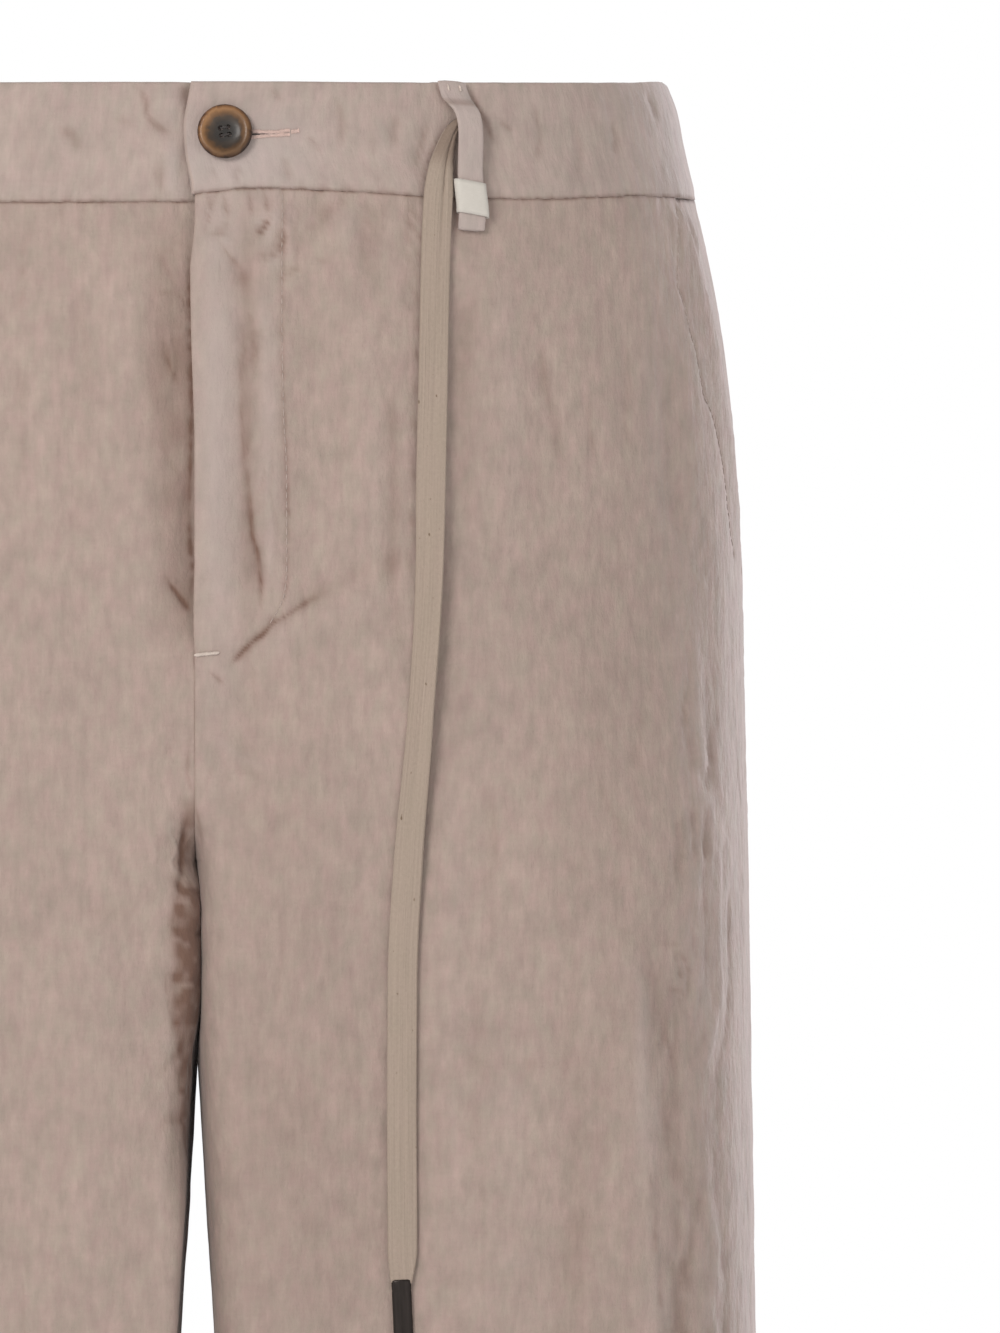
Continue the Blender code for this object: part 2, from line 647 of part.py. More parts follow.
def folded_label(collection):
    """A small blank tab folded round the foot of the left front belt loop."""
    rise_at = smooth_curve([s.drop for s in LOOP_STANDOFFS], [s.rise for s in LOOP_STANDOFFS])
    half_width = LOOP_WIDTH / 2 + LABEL_EASE
    half_depth = LOOP_THICK / 2 + LABEL_EASE
    sleeve = bmesh.new()
    rings = []
    for drop in np.linspace(LABEL_DROP, LABEL_DROP + LABEL_HEIGHT, LABEL_ROWS):
        point, across, out = surface_frame(LEFT, FRONT, drop, x=FRONT_LOOP_X)
        middle = point + out * (rise_at(drop) + LOOP_THICK / 2)
        corners = [(-1, -1), (1, -1), (1, 1), (-1, 1)]
        rings.append([
            sleeve.verts.new(Vector(middle + across * (i * half_width) + out * (j * half_depth)))
            for i, j in corners
        ])
    for upper, lower in zip(rings, rings[1:]):
        for i, k in ((0, 1), (1, 2), (2, 3), (3, 0)):
            sleeve.faces.new([upper[i], lower[i], lower[k], upper[k]])
    bmesh.ops.recalc_face_normals(sleeve, faces=sleeve.faces)
    mesh = bpy.data.meshes.new("label")
    sleeve.to_mesh(mesh)
    sleeve.free()
    thicken(add_object("label", mesh, WOVEN_LABEL, collection), LABEL_WALL, outward=True)


def turned_button_mesh():
    """The button's half section, from the middle of its hollowed face round to the middle of its shank."""
    face, back = SHANK_HEIGHT + BUTTON_THICK, SHANK_HEIGHT
    profile = [
        (0.0, back + BUTTON_THICK * 0.66),
        (BUTTON_RADIUS * 0.52, back + BUTTON_THICK * 0.66),
        (BUTTON_RADIUS * 0.70, back + BUTTON_THICK * 0.92),
        (BUTTON_RADIUS * 0.86, face),
        (BUTTON_RADIUS * 0.97, back + BUTTON_THICK * 0.80),
        (BUTTON_RADIUS, back + BUTTON_THICK * 0.40),
        (BUTTON_RADIUS * 0.86, back),
        (SHANK_RADIUS, back),
        (SHANK_RADIUS, 0.0),
        (0.0, 0.0),
    ]
    section = bmesh.new()
    points = [section.verts.new((radius, 0.0, level)) for radius, level in profile]
    for start, end in zip(points, points[1:]):
        section.edges.new((start, end))
    mesh = bpy.data.meshes.new("button")
    section.to_mesh(mesh)
    section.free()
    return mesh


def drill_mesh():
    """Four upright pegs, where the thread goes through the button's face."""
    drill = bmesh.new()
    for quarter in range(4):
        turn = math.radians(45 + 90 * quarter)
        place = (HOLE_OUT * math.cos(turn), HOLE_OUT * math.sin(turn), SHANK_HEIGHT + BUTTON_THICK)
        bmesh.ops.create_cone(
            drill,
            cap_ends=True,
            segments=12,
            radius1=HOLE_RADIUS,
            radius2=HOLE_RADIUS,
            depth=HOLE_DEPTH * 2,
            matrix=Matrix.Translation(Vector(place)),
        )
    mesh = bpy.data.meshes.new("button_holes")
    drill.to_mesh(mesh)
    drill.free()
    return mesh


def button(collection, cutters):
    """A four-hole trouser button with a raised rim, on its thread shank."""
    point, across, out = surface_frame(LEFT, FRONT, BUTTON_DROP, x=BUTTON_X)
    foot = point + out * (BAND_PROUD + BAND_LIFT + SEAM_GAP)
    turn = np.stack([across, np.cross(out, across), out], axis=1)
    seat = Matrix.Translation(Vector(foot)) @ Matrix(turn.tolist()).to_4x4()
    piece = add_object("button", turned_button_mesh(), HORN, collection)
    piece.matrix_world = seat
    screw = piece.modifiers.new("turned", "SCREW")
    screw.steps = screw.render_steps = 28
    screw.use_merge_vertices = True
    screw.merge_threshold = 0.00005
    holes = bpy.data.objects.new("button_holes", drill_mesh())
    holes.matrix_world = seat
    holes.hide_render = True
    holes.display_type = "WIRE"
    cutters.objects.link(holes)
    cut = piece.modifiers.new("holes", "BOOLEAN")
    cut.object = holes
    cut.operation = "DIFFERENCE"


def tape_stations():
    """The drawstring's middle points with their across and out vectors, widths and thicknesses."""
    spots = np.array([[s.x, s.drop] for s in TAPE_ROUTE])
    way = np.concatenate([[0.0], np.cumsum(np.hypot(*np.diff(spots, axis=0).T))])
    x_at, drop_at = smooth_curve(way, spots[:, 0]), smooth_curve(way, spots[:, 1])
    width_at = smooth_curve(way, [s.width for s in TAPE_ROUTE])
    thick_at = smooth_curve(way, [s.thick for s in TAPE_ROUTE])
    at = np.linspace(0.0, way[-1], TAPE_POINTS)
    middles, outs = [], []
    for w in at:
        x, drop = x_at(w), drop_at(w)
        point, _, out = surface_frame(LEFT, FRONT, drop, x=x)
        on_band = BAND_PROUD * (1.0 - ease((drop - BAND_HEIGHT) / TAPE_LEAVES_BAND))
        clear = SEAM_GAP + (TAPE_CLEAR - SEAM_GAP) * ease(w / TAPE_LEAVES_CLOTH)
        ridge = np.maximum(fold_height(FRONT_FOLDS, LEFT, x, drop), 0.0)
        middles.append(point + out * (ridge + on_band + clear))
        outs.append(out)
    middles, outs = np.array(middles), np.array(outs)
    along = np.gradient(middles, axis=0)
    along /= np.linalg.norm(along, axis=1, keepdims=True)
    acrosses = np.cross(outs, along)
    acrosses /= np.linalg.norm(acrosses, axis=1, keepdims=True)
    return middles, acrosses, outs, np.array([width_at(w) for w in at]), np.array([thick_at(w) for w in at])


def drawstring(collection):
    """The flat drawstring, gathered where it comes out from behind the belt loop, and its metal tip."""
    middles, acrosses, outs, widths, thicks = tape_stations()
    mesh = strip_mesh("drawstring", middles, acrosses, outs, widths)
    piece = add_object("drawstring", mesh, TWILL_TAPE, collection)
    group = piece.vertex_groups.new(name="thickness")
    thickest = float(thicks.max())
    for i, thick in enumerate(thicks):
        group.add([3 * i, 3 * i + 1, 3 * i + 2], float(thick) / thickest, "REPLACE")
    wall = thicken(piece, thickest, outward=True)
    wall.vertex_group = group.name

    along = middles[-1] - middles[-2]
    along = along / np.linalg.norm(along)
    end = middles[-1] + outs[-1] * thicks[-1] / 2
    drawstring_tip(end + along * (SEAM_GAP + TIP_LENGTH / 2), along, outs[-1], collection)


def drawstring_tip(middle, along, out, collection):
    """The flattened metal end that is crimped on the drawstring."""
    tip = bmesh.new()
    bmesh.ops.create_cone(tip, cap_ends=True, segments=16, radius1=0.5, radius2=0.5, depth=1.0)
    across = np.cross(out, along)
    size = np.stack([across * TIP_WIDTH, out * TIP_THICK, along * TIP_LENGTH], axis=1)
    place = Matrix.Translation(Vector(middle)) @ Matrix(size.tolist()).to_4x4()
    bmesh.ops.transform(tip, matrix=place, verts=tip.verts)
    bmesh.ops.recalc_face_normals(tip, faces=tip.faces)
    mesh = bpy.data.meshes.new("drawstring_tip")
    tip.to_mesh(mesh)
    tip.free()
    mesh.shade_smooth()
    mesh.set_sharp_from_angle(angle=math.radians(40))
    piece = add_object("drawstring_tip", mesh, DARK_METAL, collection)
    edge = piece.modifiers.new("edge", "BEVEL")
    edge.width = TIP_EDGE
    edge.segments = 2
    edge.limit_method = "ANGLE"


def main():
    for leftover in list(bpy.data.objects):
        bpy.data.objects.remove(leftover)
    shorts = bpy.data.collections.new("drawstring_shorts")
    cutters = bpy.data.collections.new("cutters")
    for collection in (shorts, cutters):
        bpy.context.scene.collection.children.link(collection)
    for side in (LEFT, RIGHT):
        front_panel(side, shorts)
        back_panel(side, shorts)
        waistband_half(side, shorts)
        pocket_facing(side, shorts)
    belt_loops(shorts)
    folded_label(shorts)
    button(shorts, cutters)
    drawstring(shorts)


main()
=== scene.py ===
"""The looks of the linen drawstring shorts, built round their packed construction model.

Lengths are in metres. The wearer's left is +X, the front faces -Y and +Z is up; the origin is the middle of
the waist. A drop is measured down from the waistband's top edge, and an arc along the cloth from the side
seam. Every cloth piece is cut from the same outer surface as the construction's, and its folds are laid on
that surface at real size.
"""

import math
from collections import namedtuple

import bmesh
import bpy
import numpy as np
from mathutils import Matrix, Vector


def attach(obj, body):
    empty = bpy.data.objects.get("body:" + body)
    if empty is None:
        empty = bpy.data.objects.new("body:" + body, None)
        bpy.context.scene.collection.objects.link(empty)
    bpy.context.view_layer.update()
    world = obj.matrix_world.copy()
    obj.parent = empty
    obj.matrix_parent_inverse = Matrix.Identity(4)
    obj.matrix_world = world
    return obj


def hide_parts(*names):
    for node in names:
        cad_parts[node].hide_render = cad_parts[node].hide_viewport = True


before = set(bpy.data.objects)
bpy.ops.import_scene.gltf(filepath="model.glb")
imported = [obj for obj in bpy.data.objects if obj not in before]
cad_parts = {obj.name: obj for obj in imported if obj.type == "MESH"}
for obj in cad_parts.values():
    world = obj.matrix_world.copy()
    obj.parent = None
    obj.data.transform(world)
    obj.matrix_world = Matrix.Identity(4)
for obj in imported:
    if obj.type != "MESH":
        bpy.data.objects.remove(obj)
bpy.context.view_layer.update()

LEFT, RIGHT = 1, -1
FRONT, BACK = -1, 1
SIDE_WORD = {LEFT: "left", RIGHT: "right"}

# ---------------------------------------------------------------- driving sizes, the construction's own

SEAM_GAP = 0.0003
SEWN_GAP = -0.0001  # below 0: sewn edges overlap by a hair, so that no light shows through a seam
CLOTH = 0.0012
HEM_CLOTH = 0.0020
BAND_HEIGHT = 0.036
BAND_THICK = 0.0022
BAND_PROUD = 0.0006
TOTAL_DROP = 0.490
HEM_HEIGHT = 0.030
HEM_STEP = 0.004

CROTCH_DROP = 0.246
RISE_CURVE = {FRONT: 0.095, BACK: 0.135}
RISE_POWER = 1.6
LEGS_TOUCH = 0.0002
LEGS_PART_DROP = 0.303
LEG_SPREAD = 0.057
# The superellipse power of a front's inner corner: rounder at the hip, tighter from the seat down, and
# tightest where the right leg's front folds back.
INNER_CORNER = 2.4
SEAT_CORNER = 14.0
SEAT_CORNER_FROM = 0.150
SEAT_CORNER_CHANGE = 0.060
LEG_CORNER = 12.0
LEG_CORNER_CHANGE = 0.030
RIGHT_FOLD_CORNER = 40.0
RIGHT_FOLD_FROM = 0.335
RIGHT_FOLD_CHANGE = 0.040
LEG_PRESS = 0.0032
LEG_PRESS_REACH = {LEFT: 0.072, RIGHT: 0.092}

FLY_WIDTH = 0.028
FLY_DROP = 0.183
UNDER_FLY = 0.013
UNDER_FLY_FOOT = 0.026
UNDER_BAND = 0.025
POCKET_UNDERLAP = 0.011
FACING_BOTTOM = 0.178

FRONT_LOOP_X = 0.0872
BACK_LOOP_ARC = 0.048
BUTTON_X = 0.0094
BUTTON_DROP = 0.0169
BUTTON_RADIUS = 0.0087
BUTTON_THICK = 0.0030
SHANK_HEIGHT = 0.0009
TAPE_WIDTH = 0.0095
TAPE_THICK = 0.0012
TIP_WIDTH = 0.0062
TIP_THICK = 0.0026

# Level sections of the outer surface: half widths and depths, and the superellipse power of the outer corner.
# At the band the half widths are up to 2 mm less than the construction's, as in the photograph's outline.
Section = namedtuple("Section", "drop half_width front back outer_corner")
SECTIONS = [
    Section(0.000, 0.1492, 0.0990, 0.1010, 2.30),
    Section(0.009, 0.1527, 0.1000, 0.1020, 2.30),
    Section(0.018, 0.1544, 0.1015, 0.1040, 2.30),
    Section(0.036, 0.1586, 0.1040, 0.1080, 2.32),
    Section(0.051, 0.1622, 0.1060, 0.1140, 2.34),
    Section(0.073, 0.1665, 0.1080, 0.1225, 2.36),
    Section(0.095, 0.1695, 0.1095, 0.1300, 2.38),
    Section(0.118, 0.1718, 0.1105, 0.1360, 2.40),
    Section(0.153, 0.1736, 0.1115, 0.1410, 2.45),
    Section(0.182, 0.1745, 0.1115, 0.1410, 2.50),
    Section(0.214, 0.1751, 0.1110, 0.1360, 2.58),
    Section(0.246, 0.1758, 0.1100, 0.1285, 2.66),
    Section(0.310, 0.1767, 0.1075, 0.1175, 2.78),
    Section(0.358, 0.1776, 0.1055, 0.1130, 2.82),
    Section(0.400, 0.1781, 0.1040, 0.1105, 2.80),
    Section(0.490, 0.1790, 0.1010, 0.1060, 2.75),
]
# How the band's top edge rises and falls near the side, and how much lower it lies all round.
EdgeShift = namedtuple("EdgeShift", "rise reach")
TOP_LOWERED = 0.0003
TOP_EDGE = [EdgeShift(0.0022, 0.055), EdgeShift(-0.0026, 0.012)]

# The pocket mouth as its arc from the side seam.
POCKET_MOUTH = [
    (0.035, 0.0370), (0.060, 0.0335), (0.090, 0.0285), (0.118, 0.0222),
    (0.140, 0.0155), (0.158, 0.0090), (0.168, 0.0045), (0.174, 0.0000),
]

# The drawstring's middle line over the left front, from behind the belt loop down to its tip.
Stop = namedtuple("Stop", "x drop width thick", defaults=(TAPE_WIDTH, TAPE_THICK))
TAPE_ROUTE = [
    Stop(0.0892, 0.0126, 0.0034, 0.0020),
    Stop(0.0850, 0.0128, 0.0034, 0.0020),
    Stop(0.0812, 0.0150, 0.0042, 0.0020),
    Stop(0.0784, 0.0215, 0.0062, 0.0016),
    Stop(0.0768, 0.0294, 0.0084, 0.0013),
    Stop(0.0763, 0.0367),
    Stop(0.0754, 0.0657),
    Stop(0.0746, 0.1018),
    Stop(0.0739, 0.1321),
    Stop(0.0732, 0.1637),
    Stop(0.0711, 0.2041),
    Stop(0.0676, 0.2443),
    Stop(0.0656, 0.2847),
    Stop(0.0654, 0.3264),
    Stop(0.0656, 0.3691),
    Stop(0.0652, 0.3798, 0.0070),
]

# ---------------------------------------------------------------- the camera, as the photograph was taken

CAMERA_PLACE = (0.0964, -8.0, -0.1672)
CAMERA_LENS = 675.0
SENSOR = 36.0


def add_object(name, data):
    """A new object in the scene, at the origin."""
    made = bpy.data.objects.new(name, data)
    bpy.context.scene.collection.objects.link(made)
    return made


def set_camera():
    """A straight-on view through a long lens, framed as the photograph."""
    data = bpy.data.cameras.new("camera")
    data.lens = CAMERA_LENS
    data.sensor_width = SENSOR
    data.clip_end = 100.0
    camera = add_object("camera", data)
    camera.location = CAMERA_PLACE
    camera.rotation_euler = (math.radians(90), 0.0, 0.0)
    bpy.context.scene.camera = camera


set_camera()

# ---------------------------------------------------------------- curves, noise and the outer surface


def ease(t):
    """0 up to t = 0, 1 from t = 1, and a smooth rise between them."""
    t = np.clip(t, 0.0, 1.0)
    return t * t * (3.0 - 2.0 * t)


def unit(vectors):
    """Vectors scaled to a length of 1."""
    return vectors / np.maximum(np.linalg.norm(vectors, axis=-1, keepdims=True), 1e-12)


def way_along(points):
    """The way along a line of points, from 0 at its first."""
    return np.concatenate([[0.0], np.cumsum(np.linalg.norm(np.diff(points, axis=0), axis=1))])


def smooth_curve(xs, ys):
    """A function whose curve passes smoothly through the points, with no bump between them."""
    xs, ys = np.array(xs, float), np.array(ys, float)
    steps = np.diff(ys) / np.diff(xs)
    same_way = steps[:-1] * steps[1:] > 0
    total = np.where(same_way, steps[:-1] + steps[1:], 1.0)
    inner = np.where(same_way, 2.0 * steps[:-1] * steps[1:] / total, 0.0)
    slopes = np.concatenate([steps[:1], inner, steps[-1:]])

    def value(x):
        i = np.clip(np.searchsorted(xs, x, side="right") - 1, 0, len(xs) - 2)
        span = xs[i + 1] - xs[i]
        t = np.clip((x - xs[i]) / span, 0.0, 1.0)
        rise = (3.0 - 2.0 * t) * t * t
        lead_in = t * (1.0 - t) ** 2 * span * slopes[i]
        lead_out = t * t * (t - 1.0) * span * slopes[i + 1]
        return ys[i] * (1.0 - rise) + ys[i + 1] * rise + lead_in + lead_out

    return value


def table_curve(pairs):
    """smooth_curve through a table of pairs."""
    return smooth_curve([p[0] for p in pairs], [p[1] for p in pairs])


NOISE_CELLS = 512


def noise(u, v, seed):
    """Smooth noise from about -1 to 1 with a cell of 1, the same for the same seed."""
    size = NOISE_CELLS
    lattice = np.random.default_rng(seed).uniform(-1.0, 1.0, (size, size))
    i, j = np.floor(u).astype(int), np.floor(v).astype(int)
    s, t = u - i, v - j
    s, t = s * s * s * (s * (s * 6 - 15) + 10), t * t * t * (t * (t * 6 - 15) + 10)
    i0, i1, j0, j1 = i % size, (i + 1) % size, j % size, (j + 1) % size
    top = lattice[i0, j0] * (1 - s) + lattice[i1, j0] * s
    foot = lattice[i0, j1] * (1 - s) + lattice[i1, j1] * s
    return top * (1 - t) + foot * t


section_drops = [s.drop for s in SECTIONS]
half_width_at = smooth_curve(section_drops, [s.half_width for s in SECTIONS])
outer_corner_at = smooth_curve(section_drops, [s.outer_corner for s in SECTIONS])
depth_at = {
    FRONT: smooth_curve(section_drops, [s.front for s in SECTIONS]),
    BACK: smooth_curve(section_drops, [s.back for s in SECTIONS]),
}
pocket_mouth_arc = table_curve(POCKET_MOUTH)
ROW_SAMPLES = 1500


def height(drop):
    """Z at a drop."""
    return BAND_HEIGHT / 2 - drop


def outline_row(side, face, drop, past=0.0):
    """The surface's level line at a drop, from the side seam in to the middle or the inseam: x, y and arc.
    past is how far it runs on over the middle plane."""
    width, depth, outer = half_width_at(drop), depth_at[face](drop), outer_corner_at(drop)
    inner = INNER_CORNER
    if face == FRONT:
        inner += (SEAT_CORNER - INNER_CORNER) * ease((drop - SEAT_CORNER_FROM) / SEAT_CORNER_CHANGE)
        inner += (LEG_CORNER - SEAT_CORNER) * ease((drop - CROTCH_DROP) / LEG_CORNER_CHANGE)
        if side == RIGHT:
            folded = ease((drop - RIGHT_FOLD_FROM) / RIGHT_FOLD_CHANGE)
            inner += (RIGHT_FOLD_CORNER - LEG_CORNER) * folded
    if drop < CROTCH_DROP:
        climbed = min(1.0, (CROTCH_DROP - drop) / RISE_CURVE[face])
        reach = width / (1.0 + (1.0 - climbed**RISE_POWER) ** RISE_POWER)
        centre = width - reach
        last = math.pi - math.acos(min(1.0, max(0.0, (centre + past) / reach) ** (inner / 2)))
    else:
        gap = LEGS_TOUCH + LEG_SPREAD * max(0.0, drop - LEGS_PART_DROP)
        reach = (width - gap) / 2
        centre = width - reach
        last = math.pi
    angle = np.linspace(0.0, last, ROW_SAMPLES)
    power = 2.0 / np.where(angle < math.pi / 2, outer, inner)
    across, out = np.cos(angle), np.sin(angle)
    x = centre + reach * np.sign(across) * np.abs(across) ** power
    y = face * depth * np.abs(out) ** power
    if (side, face) == (LEFT, FRONT) and past == 0.0 and drop < CROTCH_DROP:
        seam_y = outline_row(RIGHT, FRONT, drop)[1][-1]
        x, y = np.append(x, 0.0), np.append(y, max(seam_y, y[-1]))
    arc = np.concatenate([[0.0], np.cumsum(np.hypot(np.diff(x), np.diff(y)))])
    return x, y, arc


def arc_at_x(row, x):
    """The arc at which a row stands that far out from the middle plane."""
    xs, _, arcs = row
    return np.interp(-np.asarray(x, float), -xs, arcs)


def row_points(row, at, drop):
    """The points of a level row at some arcs."""
    xs, ys, arcs = row
    return np.stack([np.interp(at, arcs, xs), np.interp(at, arcs, ys), np.full(len(at), height(drop))],
                    axis=1)


def outward_normals(points):
    """Unit normals of a grid whose rows run down and whose columns run from the inner edge to the side."""
    return unit(np.cross(np.gradient(points, axis=0), np.gradient(points, axis=1)))


def spaced_by(spacing, start, stop):
    """Places from start to stop whose distances follow a table of (place, distance)."""
    fine = np.linspace(start, stop, 4000)
    each = np.interp(fine, [s[0] for s in spacing], [s[1] for s in spacing])
    count = np.concatenate([[0.0], np.cumsum(np.diff(fine) / ((each[1:] + each[:-1]) / 2))])
    return np.interp(np.linspace(0.0, count[-1], round(count[-1]) + 1), count, fine)


# ---------------------------------------------------------------- folds and creases

# A crease follows a path of (x, drop) places as seen from the front or the back. height is above 0 for a
# ridge and below 0 for a trough, inward and outward are how far its slopes run towards the middle and the
# side seam, and power is its section: 4 has a flat floor, 2 is soft and round, 1 is sharp.
Crease = namedtuple("Crease", "path height inward outward power")
FLAT, SOFT, FIRM, SHARP = 4.0, 2.0, 1.35, 1.0
CREASE_FADE = 0.016
MM = 0.001


def crease(height_mm, widths_mm, power, *path_mm):
    """One crease, with its sizes and its path in millimetres."""
    inward, outward = widths_mm if isinstance(widths_mm, tuple) else (widths_mm, widths_mm)
    return Crease([(x * MM, d * MM) for x, d in path_mm], height_mm * MM, inward * MM, outward * MM, power)


